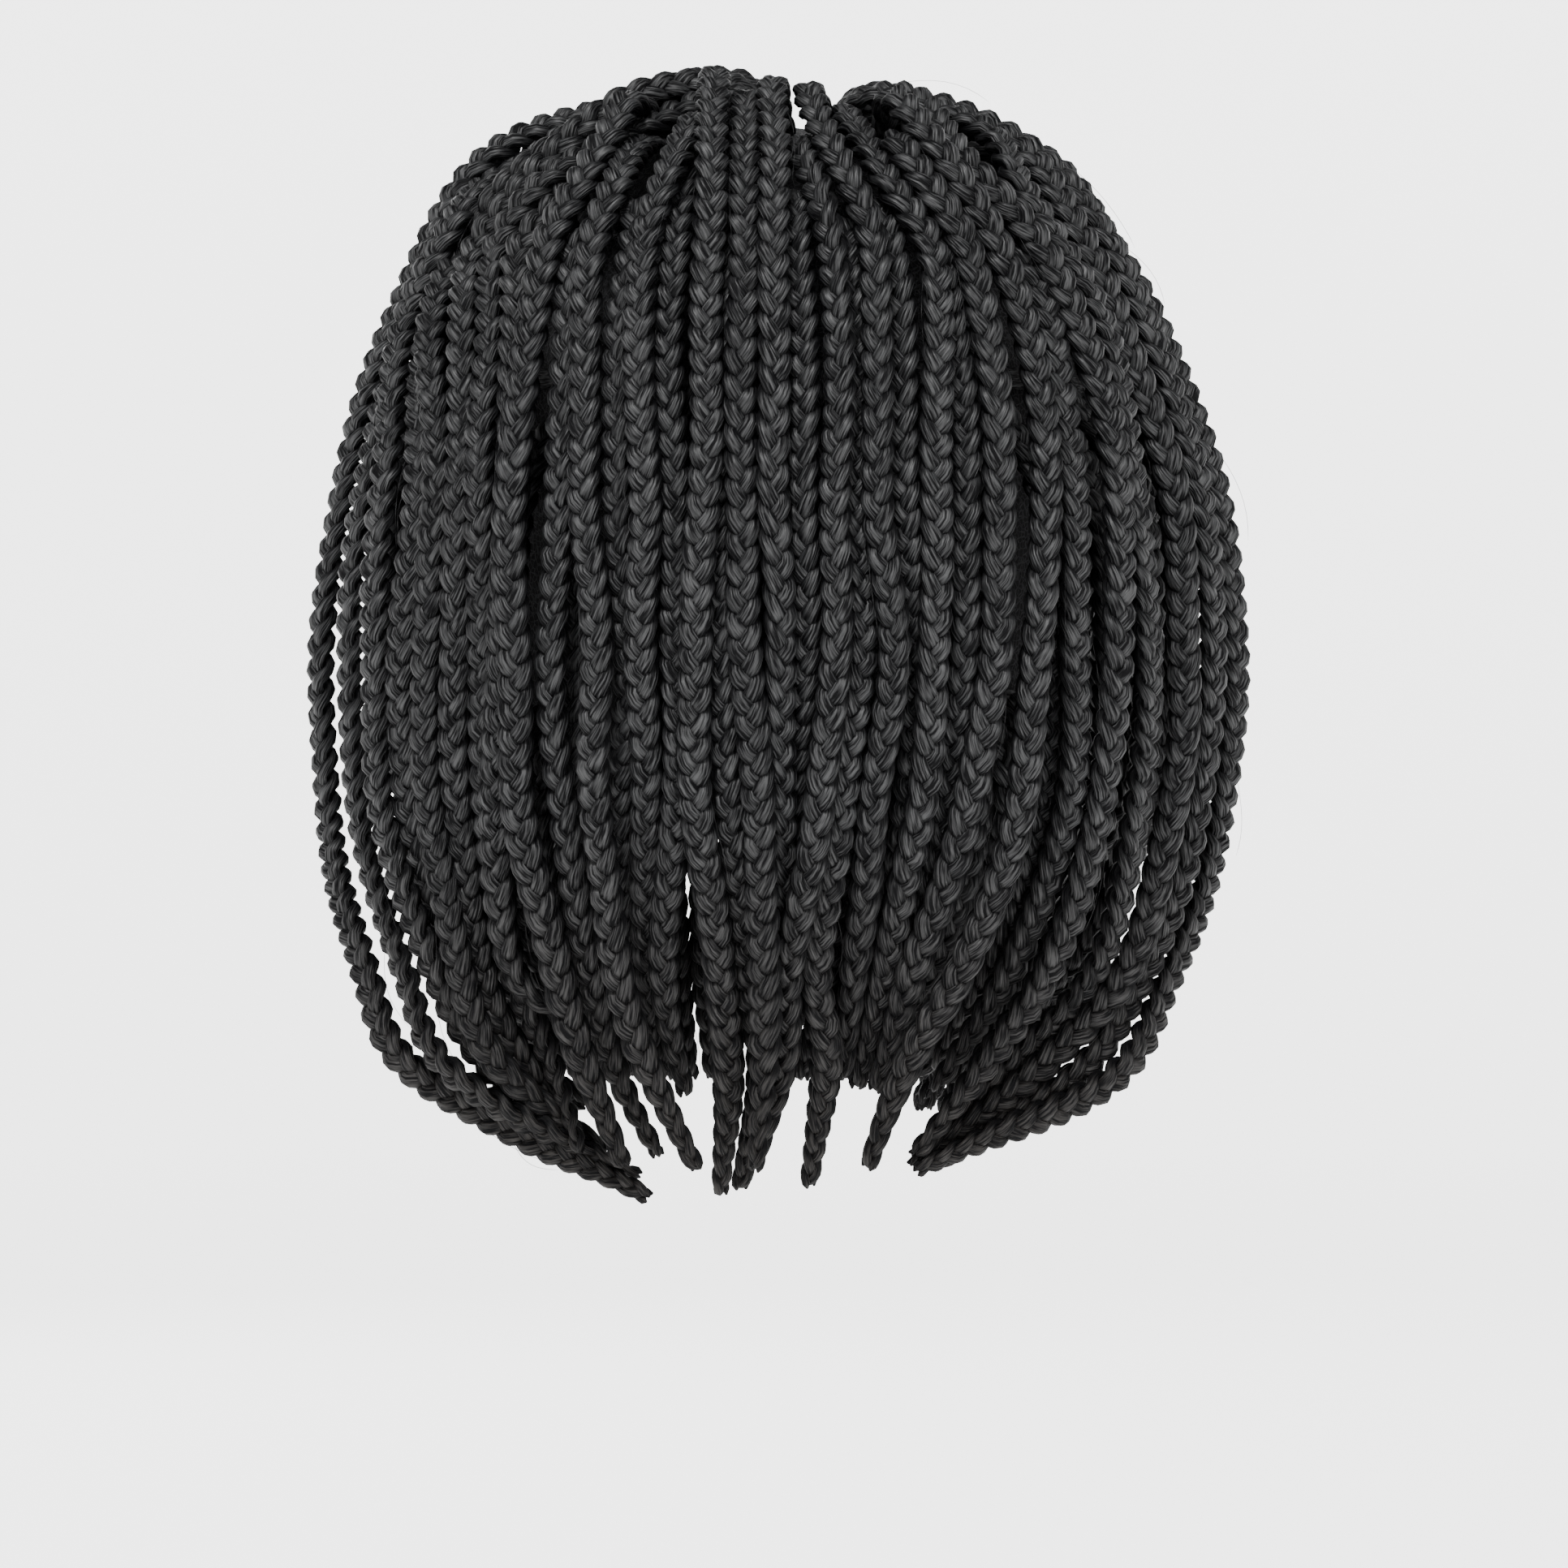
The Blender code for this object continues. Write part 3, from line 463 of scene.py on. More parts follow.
def settle(braids):
    """Pushes braids that lie into each other apart, mostly in and out from the head, and off the cap."""
    sizes = [len(braid["points"]) for braid in braids]
    starts = np.concatenate(((0,), np.cumsum(sizes)))[:-1]
    points = np.concatenate([braid["points"] for braid in braids])
    drawn = points.copy()
    owner = np.repeat(np.arange(len(braids)), sizes)
    place = np.concatenate([np.arange(size) for size in sizes])
    depth = np.concatenate([braid["depths"] for braid in braids])
    depth = depth + INTERLEAVE * (owner % 2) + owner * TIE_BREAK
    half_width, half_thick = (np.concatenate(part) for part in zip(*map(half_sizes, braids)))
    free = np.where(place == 0, 0.0, np.where(place == 1, 0.5, 1.0))
    free = free * np.minimum(0.4 + depth / (12 * MM), 1.2)
    begin = np.flatnonzero(owner[:-1] == owner[1:])
    first, second = np.triu_indices(len(begin), 1)
    apart = owner[begin[first]] != owner[begin[second]]
    first, second = begin[first[apart]], begin[second[apart]]
    reach = np.linalg.norm(points[begin + 1] - points[begin], axis=1).max()
    clear = np.where(depth < 8 * MM, OVER_CAP, UNDER_CAP)
    for turn in range(SETTLE_ROUNDS):
        out = hair_normal(points)
        across = np.concatenate(
            [frames_along(points[s : s + n])[1] for s, n in zip(starts, sizes)]
        )
        if turn % 10 == 0:
            near = np.linalg.norm(points[first] - points[second], axis=1) < reach + 20 * MM
            one, two = first[near], second[near]
        s, t = closest_places(points[one], points[one + 1], points[two], points[two + 1])
        s, t = s[:, None], t[:, None]
        here = points[one] * (1 - s) + points[one + 1] * s
        there = points[two] * (1 - t) + points[two + 1] * t
        between = here - there
        distance = np.linalg.norm(between, axis=1)
        way = between / np.maximum(distance, 1e-9)[:, None]
        near_one = np.where(s[:, 0] < 0.5, one, one + 1)
        near_two = np.where(t[:, 0] < 0.5, two, two + 1)
        need = np.full(len(one), GAP)
        for who in (near_one, near_two):
            need += np.hypot(
                half_width[who] * (way * across[who]).sum(1), half_thick[who] * (way * out[who]).sum(1)
            )
        push = np.maximum(need - distance, 0)
        hit = push > 0
        if not hit.any():
            break
        one_hit, two_hit, s, t = one[hit], two[hit], s[hit], t[hit]
        outward = unit(out[one_hit] + out[two_hit])
        radial = (way[hit] * outward).sum(1)
        side = np.sign(depth[near_two[hit]] - depth[near_one[hit]])
        level = way[hit] - radial[:, None] * outward
        shift = outward * (side * push[hit])[:, None] + SIDEWAYS * level * push[hit][:, None]
        moved = np.zeros_like(points)
        weight = np.zeros(len(points))
        for start, share, sign in ((one_hit, s, 1), (two_hit, t, -1)):
            for end, part in ((0, 1 - share), (1, share)):
                np.add.at(moved, start + end, sign * part * shift * 0.5)
                np.add.at(weight, start + end, part[:, 0])
        moved /= np.maximum(weight, 1)[:, None]
        points = points + moved * free[:, None]
        strayed = points - drawn
        strayed *= np.minimum(1, MOST_STRAY / np.maximum(np.linalg.norm(strayed, axis=1), 1e-9))[:, None]
        eased = strayed.copy()
        inside = (place > 1) & (np.append(owner[1:], -1) == owner)
        rows = np.flatnonzero(inside)
        eased[rows] = (strayed[rows - 1] + 2 * strayed[rows] + strayed[rows + 1]) / 4
        ease = EASING * (1 - turn / SETTLE_ROUNDS)
        points = drawn + (strayed * (1 - ease) + eased * ease) * (1 - HOMING * (1 - turn / SETTLE_ROUNDS))
        short = np.where(place > 0, clear - above_head(points), 0)
        points = points + hair_normal(points) * np.maximum(short, 0)[:, None]
    for braid, start, size in zip(braids, starts, sizes):
        braid["points"] = points[start : start + size]


def lay_out_braids():
    braids = [chart_braid(*row) for row in CHART]
    braids.extend(front_braids())
    braids.extend(inner_braids())
    settle(braids)
    return braids


# The combs of braids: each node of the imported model, with the sides of one strand and its step
COMBS = {
    # row: (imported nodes, sides of a strand, length of one step)
    "first": (
        (
            "first_row_left_front",
            "first_row_left_side",
            "first_row_left_back",
            "first_row_right_back",
            "first_row_right_side",
            "first_row_right_front",
        ),
        8,
        1.25 * MM,
    ),
    "second": (("second_row_left", "second_row_back", "second_row_right"), 7, 1.3 * MM),
    "inner": (("inner_row_left", "inner_row_back", "inner_row_right"), 6, 1.5 * MM),
    "nape": (("nape_row",), 6, 1.5 * MM),
}
STRANDS = 3
FACING = 0.8
FACING_FROM = -20 * MM
FACING_RUN = 50 * MM

# How a plait wanders, begins and ends
ROLL_RUN = 70 * MM
ROLL_START = 40 * MM
LOOSE_RUN = 30 * MM
WANDER_ACROSS, ACROSS_RUN = 0.3 * MM, 9 * MM
WANDER_OUT, OUT_RUN = 0.25 * MM, 11 * MM
UNEVEN, UNEVEN_RUN = 0.35, 23 * MM
FULL_LENGTH = 200 * MM
ROOT_PLAIT = 0.3
ROOT_SIZE = 0.84
ROUND_END = 1.6 * MM
PLUMP = 0.07
# How wide the painted shade is where a strand dives under its neighbours
GROOVE_SHADE = 0.62
FIBRES_ROUND = 2.7

# The wave of the base hair along a band
BAND_WAVE = 0.25 * MM
BAND_WAVE_RUN = 4 * MM

# Stray hairs
STRAY_POINTS = 9
STRAY_REACH = (12 * MM, 34 * MM)
STRAY_FROM = 10 * MM
STRAY_LIFT = (0.8 * MM, 3.2 * MM)
STRAY_ASIDE = 3.0 * MM
STRAY_SPREAD = 0.6 * MM
STRAY_OFF = 1.2 * MM

# Patterns: how many features lie in a metre, and the heights between which the hair turns browner
FINE_FIBRES = (2300, 330, 1)
BROAD_FIBRES = (1000, 170, 1)
NET_SCALE = (700, 700, 700)
NET_TURN = (0.6, 0.5, 0.78)
LOW_HAIR = (-250 * MM, -170 * MM)
SEEDS = {"first": 11, "second": 23, "inner": 37, "nape": 53}

# Camera and stage
VIEW_WIDTH = 1932 * CHART_STEP
SENSOR = 36.0
FLOOR_HEIGHT = -0.46
FLOOR_RADIUS = 4.0
FLOOR_CURVE = 1.2
FLOOR_WALL = 2.6


class HairSizes(bpy.types.PropertyGroup):
    plait_length: bpy.props.FloatProperty(
        name="Plait length",
        description="Length of one full turn of the three strands",
        default=18.8 * MM,
        unit="LENGTH",
    )
    sway: bpy.props.FloatProperty(
        name="Sway",
        description="How far a strand swings to each side of the plait",
        default=2.3 * MM,
        unit="LENGTH",
    )
    crossing: bpy.props.FloatProperty(
        name="Crossing",
        description="How far a strand rises where it crosses another",
        default=1.5 * MM,
        unit="LENGTH",
    )
    strand_width: bpy.props.FloatProperty(
        name="Strand width",
        description="Width of one strand, across the plait",
        default=4.3 * MM,
        unit="LENGTH",
    )
    strand_thickness: bpy.props.FloatProperty(
        name="Strand thickness", description="Thickness of one strand", default=3.1 * MM, unit="LENGTH"
    )
    smooth_root: bpy.props.FloatProperty(
        name="Smooth root", description="Length over which the plait begins", default=24 * MM, unit="LENGTH"
    )
    tip_run: bpy.props.FloatProperty(
        name="Tip run",
        description="Length over which the plait thins to its tip",
        default=38 * MM,
        unit="LENGTH",
    )
    tip_share: bpy.props.FloatProperty(
        name="Tip share",
        description="Width left at the tip",
        default=0.58,
        subtype="FACTOR",
        min=0.1,
        max=1,
    )
    turn: bpy.props.FloatProperty(
        name="Turn",
        description="How far a braid may be turned about its own length",
        default=math.radians(24),
        subtype="ANGLE",
    )
    flyaways: bpy.props.IntProperty(
        name="Stray hairs", description="Stray hairs on each braid", default=3, min=0
    )
    flyaway_radius: bpy.props.FloatProperty(
        name="Stray hair radius",
        description="Half the thickness of a stray hair",
        default=0.06 * MM,
        unit="LENGTH",
    )


class WigColours(bpy.types.PropertyGroup):
    # Painted shade: the darker colour between the fibres and where a strand dives under another
    valley_shade: bpy.props.FloatVectorProperty(
        name="Between fibres",
        description="Hair colour between the fibres",
        default=(0.0008, 0.0008, 0.001),
        subtype="COLOR",
        size=3,
    )
    fibre: bpy.props.FloatVectorProperty(
        name="Fibre",
        description="Hair colour on the fibres",
        default=(0.009, 0.0093, 0.0098),
        subtype="COLOR",
        size=3,
    )
    low_fibre: bpy.props.FloatVectorProperty(
        name="Low fibre",
        description="Hair colour near the tips",
        default=(0.009, 0.0073, 0.0060),
        subtype="COLOR",
        size=3,
    )
    net: bpy.props.FloatVectorProperty(
        name="Net",
        description="Colour of the net cap",
        default=(0.0045, 0.0045, 0.005),
        subtype="COLOR",
        size=3,
    )
    floor: bpy.props.FloatVectorProperty(
        name="Floor", description="Colour of the floor", default=(0.6, 0.6, 0.6), subtype="COLOR", size=3
    )


class Value:
    """A number in a shader, from a node's socket. An expression on values adds its Math nodes."""

    def __init__(self, sheet, socket):
        self.sheet = sheet
        self.socket = socket

    def math(self, operation, first, second):
        return self.sheet.add("ShaderNodeMath", {"operation": operation}, {0: first, 1: second})

    def __add__(self, other):
        return self.math("ADD", self, other)

    def __radd__(self, other):
        return self.math("ADD", other, self)

    def __sub__(self, other):
        return self.math("SUBTRACT", self, other)

    def __rsub__(self, other):
        return self.math("SUBTRACT", other, self)

    def __mul__(self, other):
        return self.math("MULTIPLY", self, other)

    def __rmul__(self, other):
        return self.math("MULTIPLY", other, self)

    def __truediv__(self, other):
        return self.math("DIVIDE", self, other)

    def __pow__(self, other):
        return self.math("POWER", self, other)


class Sheet:
    """The node tree of one material."""

    def __init__(self, name):
        self.material = bpy.data.materials.new(name)
        self.material.use_nodes = True
        self.tree = self.material.node_tree
        self.shader = self.tree.nodes["Principled BSDF"]

    def add(self, kind, settings=None, sockets=None, output=0):
        """Adds a node, with its settings set first, then its sockets. Gives back the wanted output."""
        node = self.tree.nodes.new(kind)
        for name, value in (settings or {}).items():
            setattr(node, name, value)
        self.feed(node, sockets or {})
        return Value(self, node.outputs[output])

    def feed(self, node, sockets):
        for name, value in sockets.items():
            if isinstance(value, Value):
                self.tree.links.new(value.socket, node.inputs[name])
            else:
                node.inputs[name].default_value = value

    def noise(self, vector, scale, detail=2.0, roughness=0.5):
        sockets = {"Vector": vector, "Scale": scale, "Detail": detail, "Roughness": roughness}
        return self.add("ShaderNodeTexNoise", {}, sockets)

    def clamped(self, value, low, high):
        """The value from low to high stretched over 0 to 1."""
        return self.add(
            "ShaderNodeMapRange", {"clamp": True}, {"Value": value, "From Min": low, "From Max": high}
        )

    def mix(self, factor, one, two):
        """Colours mixed by the factor."""
        node = self.tree.nodes.new("ShaderNodeMix")
        node.data_type = "RGBA"
        colours = [socket for socket in node.inputs if socket.type == "RGBA"]
        self.feed(node, {0: factor})
        for socket, colour in zip(colours, (one, two)):
            if isinstance(colour, Value):
                self.tree.links.new(colour.socket, socket)
            else:
                socket.default_value = (*colour, 1)
        return Value(self, next(socket for socket in node.outputs if socket.type == "RGBA"))

    def finish_shader(self, constants, varying):
        """Sets the material's own shader and gives back its output."""
        for name, value in constants.items():
            self.shader.inputs[name].default_value = value
        for name, value in varying.items():
            self.tree.links.new(value.socket, self.shader.inputs[name])
        return Value(self, self.shader.outputs["BSDF"])

    def finish(self, constants, varying):
        self.finish_shader(constants, varying)
        return self.material

    def blend(self, factor, one, two):
        """Shows the second shader over the first by the factor."""
        mixed = self.add("ShaderNodeMixShader", {}, {0: factor, 1: one, 2: two})
        self.tree.links.new(mixed.socket, self.tree.nodes["Material Output"].inputs["Surface"])
        return self.material


@functools.lru_cache(maxsize=None)
def braided_hair():
    """Black synthetic fibre: streaks along each strand, dull between the fibres, browner near the tips, with
    painted highlights on the fibres along the crests of the strands and painted shade between the fibres and where
    a strand dives under another.
    """
    colours = bpy.context.scene.wig_colours
    sheet = Sheet("braided hair")
    fibres = sheet.add("ShaderNodeUVMap", {"uv_map": "fibres"})
    # A mask of painted light: high on the crests of the strands, low as painted shade where a strand dives under
    # another
    painted_crest_light = sheet.add("ShaderNodeAttribute", {"attribute_name": "painted_crest_light"}, output=2)
    stretched = sheet.add("ShaderNodeMapping", {}, {"Vector": fibres, "Scale": FINE_FIBRES})
    fine = sheet.noise(stretched, 1.0, 1.0, 0.5)
    broad_way = sheet.add("ShaderNodeMapping", {}, {"Vector": fibres, "Scale": BROAD_FIBRES})
    broad = sheet.noise(broad_way, 1.0, 1.0)
    place = sheet.add("ShaderNodeTexCoord", {}, output=3)
    height = sheet.add("ShaderNodeSeparateXYZ", {}, {0: place}, output=2)
    low = 1 - sheet.clamped(height, *LOW_HAIR)
    # Painted highlight and painted shade: the fibres along the crests take the lighter hair colour and more gloss,
    # while the gaps between fibres and the dives take the painted shade colour
    glint_and_shade = sheet.clamped(fine * 0.6 + broad * 0.4, 0.42, 0.62) * (painted_crest_light * 0.92 + 0.08)
    lit = sheet.mix(low * 0.8, tuple(colours.fibre), tuple(colours.low_fibre))
    colour = sheet.mix(glint_and_shade, tuple(colours.valley_shade), lit)
    roughness = 0.46 + broad * 0.16
    bump = sheet.add(
        "ShaderNodeBump", {}, {"Strength": 1.0, "Distance": 0.0006, "Height": fine * 0.6 + broad * 0.6}
    )
    dull = sheet.add(
        "ShaderNodeBsdfPrincipled",
        {},
        {"Base Color": colour, "Normal": bump, "Roughness": 0.7, "Specular IOR Level": 0.03},
    )
    glossy = sheet.finish_shader(
        {"Specular IOR Level": 0.5},
        {"Base Color": colour, "Roughness": roughness, "Normal": bump},
    )
    return sheet.blend(glint_and_shade * (0.8 - low * 0.5) + 0.04, dull, glossy)


@functools.lru_cache(maxsize=None)
def cap_net():
    """Matte black net: a fine diamond mesh over a darker lining."""
    colours = bpy.context.scene.wig_colours
    sheet = Sheet("cap net")
    place = sheet.add("ShaderNodeTexCoord", {}, output=3)
    turned = sheet.add("ShaderNodeMapping", {}, {"Vector": place, "Scale": NET_SCALE, "Rotation": NET_TURN})
    edges = {"feature": "DISTANCE_TO_EDGE"}
    cells = sheet.add("ShaderNodeTexVoronoi", edges, {"Vector": turned, "Scale": 1.0})
    thread = 1 - sheet.clamped(cells, 0.03, 0.16)
    net = tuple(colours.net)
    dark = tuple(0.35 * part for part in net)
    colour = sheet.mix(thread, dark, tuple(1.5 * part for part in net))
    bump = sheet.add("ShaderNodeBump", {}, {"Strength": 0.7, "Distance": 0.0003, "Height": thread})
    roughness = 0.95 - thread * 0.15
    return sheet.finish(
        {"Specular IOR Level": 0.12},
        {"Base Color": colour, "Roughness": roughness, "Normal": bump},
    )


@functools.lru_cache(maxsize=None)
def pale_floor():
    colours = bpy.context.scene.wig_colours
    sheet = Sheet("pale floor")
    place = sheet.add("ShaderNodeTexCoord", {}, output=3)
    grain = sheet.noise(place, 40.0)
    floor = tuple(colours.floor)
    colour = sheet.mix(grain * 0.3, floor, tuple(0.98 * part for part in floor))
    roughness = 0.85 + grain * 0.1
    return sheet.finish(
        {"Emission Color": (1, 1, 1, 1), "Emission Strength": 2.6, "Specular IOR Level": 0.0},
        {"Base Color": colour, "Roughness": roughness},
    )


def smooth_step(values):
    values = np.clip(values, 0, 1)
    return values * values * (3 - 2 * values)


def smooth_line(points, step):
    """Points a small step apart on the smooth curve that passes through the given ones."""
    ends = (2 * points[0] - points[1], 2 * points[-1] - points[-2])
    points = np.concatenate(([ends[0]], points, [ends[1]]))
    line = []
    shares = np.linspace(0, 1, 24, endpoint=False)[:, None]
    for a, b, c, d in zip(points, points[1:], points[2:], points[3:]):
        one, two, three = (math.sqrt(np.linalg.norm(q - p)) for p, q in ((a, b), (b, c), (c, d)))
        t = one + shares * two
        ab = a + (b - a) * t / one
        bc = b + (c - b) * (t - one) / two
        cd = c + (d - c) * (t - one - two) / three
        abc = ab + (bc - ab) * t / (one + two)
        bcd = bc + (cd - bc) * (t - one) / (two + three)
        line.append(abc + (bcd - abc) * (t - one) / two)
    line = np.concatenate(line + [points[-2:-1]])
    runs = np.concatenate(((0,), np.cumsum(np.linalg.norm(np.diff(line, axis=0), axis=1))))
    places = np.linspace(0, runs[-1], max(round(runs[-1] / step), 8))
    return np.stack([np.interp(places, runs, axis) for axis in line.T], axis=1), places


def plait_frames(line, roll):
    """Directions across and out from the head along a braid, turned about its length.

    The braids of the sides and back turn their flat face backwards.
    """
    along, _, out = frames_along(line)
    facing = FACING * smooth_step((line[:, 1] - FACING_FROM) / FACING_RUN)
    out = out + facing[:, None] * np.array((0, 1, 0))
    across = unit(np.cross(out, along))
    out = unit(np.cross(along, across))
    turn = roll[:, None]
    return across * np.cos(turn) + out * np.sin(turn), out * np.cos(turn) - across * np.sin(turn)


def tube(centre, out, half_width, half_thick, sides):
    """Rings of a strand round its centre line."""
    along = unit(np.gradient(centre, axis=0))
    up = unit(out - along * (out * along).sum(1)[:, None])
    side = np.cross(up, along)
    angles = np.arange(sides) * 2 * math.pi / sides
    ring = np.cos(angles)[None, :, None] * (side * half_width[:, None])[:, None, :]
    ring = ring + np.sin(angles)[None, :, None] * (up * half_thick[:, None])[:, None, :]
    return centre[:, None, :] + ring


class Skin:
    """Closed tubes gathered into one mesh, with fibre coordinates and a mask of painted light, high where a strand
    stands proud and low as painted shade where it dives under.
    """

    def __init__(self):
        self.points, self.corners, self.sizes, self.fibres, self.painted_crest_lights = [], [], [], [], []
        self.count = 0

    def add_tube(self, rings, run, around, painted_crest_light, shift):
        """Adds rings of points as a closed tube.

        Run says how far along each ring lies and the crest mask how much painted light it gets, with painted shade
        where it is low;
        around is the way round in metres, and shift is where the fibres start.
        """
        turns, sides, _ = rings.shape
        ring, side = np.meshgrid(np.arange(turns - 1), np.arange(sides), indexing="ij")
        ring, side = ring.ravel(), side.ravel()
        after = (side + 1) % sides
        below, above = ring * sides, (ring + 1) * sides
        quads = np.stack((below + side, below + after, above + after, above + side), axis=1)
        low, high = run[ring], run[ring + 1]
        left, right = side / sides * around, (side + 1) / sides * around
        fibres = np.stack((left, low, right, low, right, high, left, high), axis=1).reshape(-1, 2)
        caps = np.concatenate((np.arange(sides)[::-1], (turns - 1) * sides + np.arange(sides)))
        cap_fibres = np.stack((caps % sides / sides * around, run[caps // sides]), axis=1)
        self.points.append(rings.reshape(-1, 3))
        self.corners.append(np.concatenate((quads.ravel(), caps)) + self.count)
        self.sizes.append(np.concatenate((np.full(len(quads), 4), (sides, sides))))
        self.fibres.append(np.concatenate((fibres, cap_fibres)) + shift)
        self.painted_crest_lights.append(np.repeat(painted_crest_light, sides))
        self.count += turns * sides

    def make_piece(self, name, material):
        parts = (self.points, self.corners, self.sizes, self.fibres, self.painted_crest_lights)
        points, corners, sizes, fibres, painted_crest_lights = (np.concatenate(part) for part in parts)
        mesh = bpy.data.meshes.new(name)
        mesh.vertices.add(len(points))
        mesh.vertices.foreach_set("co", points.astype(np.float32).ravel())
        mesh.loops.add(len(corners))
        mesh.loops.foreach_set("vertex_index", corners.astype(np.int32))
        mesh.polygons.add(len(sizes))
        mesh.polygons.foreach_set("loop_start", (np.cumsum(sizes) - sizes).astype(np.int32))
        mesh.polygons.foreach_set("use_smooth", np.ones(len(sizes), bool))
        mesh.update(calc_edges=True)
        layer = mesh.uv_layers.new(name="fibres")
        layer.data.foreach_set("uv", fibres.astype(np.float32).ravel())
        # The mask of painted light and painted shade, which the hair material reads
        painted_crest_light = mesh.attributes.new("painted_crest_light", "FLOAT", "POINT")
        painted_crest_light.data.foreach_set("value", painted_crest_lights.astype(np.float32))
        mesh.validate()
        mesh.materials.append(material)
        piece = bpy.data.objects.new(name, mesh)
        bpy.context.scene.collection.objects.link(piece)
        return piece


@functools.lru_cache(maxsize=None)
def laid_out_combs():
    """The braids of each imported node."""
    combs = {}
    for braid in lay_out_braids():
        combs.setdefault(braid["section"], []).append(braid)
    return combs


def add_plait(skin, braid, sides, step, chance):
    """One braid: three strands that cross each other from the smooth root to the thin tip."""
    sizes = bpy.context.scene.hair_sizes
    line, run = smooth_line(braid["points"], step)
    length = run[-1]
    wander = chance.uniform(0, 2 * math.pi, 4)
    lean, sway_turn = chance.uniform(-1, 1, 2) * sizes.turn
    roll = lean + sway_turn * np.sin(run / ROLL_RUN + wander[0])
    roll = roll * smooth_step(run / ROLL_START)
    across, out = plait_frames(line, roll)
    loose = smooth_step(run / LOOSE_RUN) * smooth_step((length - run) / LOOSE_RUN)
    line = line + across * (WANDER_ACROSS * loose * np.sin(run / ACROSS_RUN + wander[1]))[:, None]
    line = line + out * (WANDER_OUT * loose * np.sin(run / OUT_RUN + wander[2]))[:, None]
    short = min(1, length / FULL_LENGTH)
    begun = ROOT_PLAIT + (1 - ROOT_PLAIT) * smooth_step(run / (sizes.smooth_root * short))
    thin = 1 - (1 - sizes.tip_share) * smooth_step(1 - (length - run) / sizes.tip_run)
    end = np.sqrt(np.clip((length - run) / ROUND_END, 0.05, 1))
    full = ROOT_SIZE + (1 - ROOT_SIZE) * smooth_step(run / (LOOSE_RUN * short))
    size = chance.uniform(0.95, 1.04) * thin * full
    period = sizes.plait_length * chance.uniform(0.93, 1.07)
    tone = chance.uniform(0.75, 1)
    start = chance.uniform(0, 2 * math.pi)
    turning = start + 2 * math.pi * run / period + UNEVEN * np.sin(run / UNEVEN_RUN + wander[3])
    for strand in range(STRANDS):
        phase = turning + 2 * math.pi * strand / STRANDS
        sway = sizes.sway * begun * size * np.sin(phase)
        rise = -sizes.crossing * begun * size * np.sin(2 * phase)
        centre = line + across * sway[:, None] + out * rise[:, None]
        plump = 1 + PLUMP * np.cos(2 * phase) * begun
        half_width = sizes.strand_width / 2 * size * plump * end
        half_thick = sizes.strand_thickness / 2 * size * end
        rings = tube(centre, out, half_width, half_thick, sides)
        # Painted light mask: full on the crest of each strand, falling to painted shade where it dives under the
        # others, scaled by the braid's random tone
        painted_crest_light = tone * (1 - begun * smooth_step(0.5 + GROOVE_SHADE * np.sin(2 * phase)))
        skin.add_tube(rings, run, sizes.strand_width * FIBRES_ROUND, painted_crest_light, chance.uniform(0, 1, 2))
    add_flyaways(skin, line, run, across, out, chance)


def add_flyaways(skin, line, run, across, out, chance):
    """A few stray hairs that leave the braid and lie back on it."""
    sizes = bpy.context.scene.hair_sizes
    for _ in range(sizes.flyaways):
        reach = chance.uniform(*STRAY_REACH)
        first = chance.uniform(STRAY_FROM, max(run[-1] - reach, STRAY_FROM + MM))
        places = np.linspace(first, min(first + reach, run[-1]), STRAY_POINTS)
        centre, aside, proud = (
            np.stack([np.interp(places, run, axis) for axis in lines.T], axis=1) for lines in (line, across, out)
        )
        share = np.linspace(0, 1, STRAY_POINTS)
        side = chance.choice((-1, 1))
        lift = chance.uniform(*STRAY_LIFT) * np.sin(share * math.pi * chance.uniform(0.6, 1.0))
        off = (STRAY_ASIDE + lift * 0.7) * side + chance.uniform(-STRAY_SPREAD, STRAY_SPREAD)
        path = centre + aside * off[:, None] + proud * (STRAY_OFF + lift)[:, None]
        fine = np.full(STRAY_POINTS, sizes.flyaway_radius)
        fine[-1] *= 0.3
        rings = tube(path, proud, fine, fine, 3)
        # Stray hairs get the full painted light
        skin.add_tube(rings, places, 0.4 * MM, np.ones(STRAY_POINTS), chance.uniform(0, 1, 2))


def add_band(skin, braids, chance):
    """The strip of base hair that a comb's roots are knotted into, laid flat on the cap."""
    roots = np.array([braid["points"][0] for braid in braids])
    points = [roots[0]]
    for root, other in zip(roots, roots[1:]):
        steps = max(round(np.linalg.norm(other - root) / BAND_STEP), 1)
        points.extend(on_cap(root + (other - root) * (i + 1) / steps) for i in range(steps))
    line, run = smooth_line(np.array(points), 1.5 * MM)
    out = np.array([head_normal(point) for point in line])
    for strip in range(-1, 2):
        side = unit(np.cross(out, unit(np.gradient(line, axis=0))))
        wave = BAND_WAVE * np.sin(run / BAND_WAVE_RUN + strip * 2)
        path = line + side * (strip * BAND_WIDTH * 0.3) + out * wave[:, None]
        wide = np.full(len(line), BAND_WIDTH * 0.24)
        thick = np.full(len(line), BAND_THICKNESS * 0.55)
        rings = tube(path, out, wide, thick, 8)
        # The base hair on the cap gets half the painted light of a crest
        skin.add_tube(rings, run, BAND_WIDTH * 1.6, np.full(len(line), 0.5), chance.uniform(0, 1, 2))


def add_comb(node, row, sides, step, seed):
    """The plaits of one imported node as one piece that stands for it."""
    chance = np.random.default_rng(seed)
    skin = Skin()
    braids = laid_out_combs()[node]
    for braid in braids:
        add_plait(skin, braid, sides, step, chance)
    add_band(skin, braids, chance)
    piece = skin.make_piece(node + "_plaits", braided_hair())
    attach(piece, "root")
    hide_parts(node)


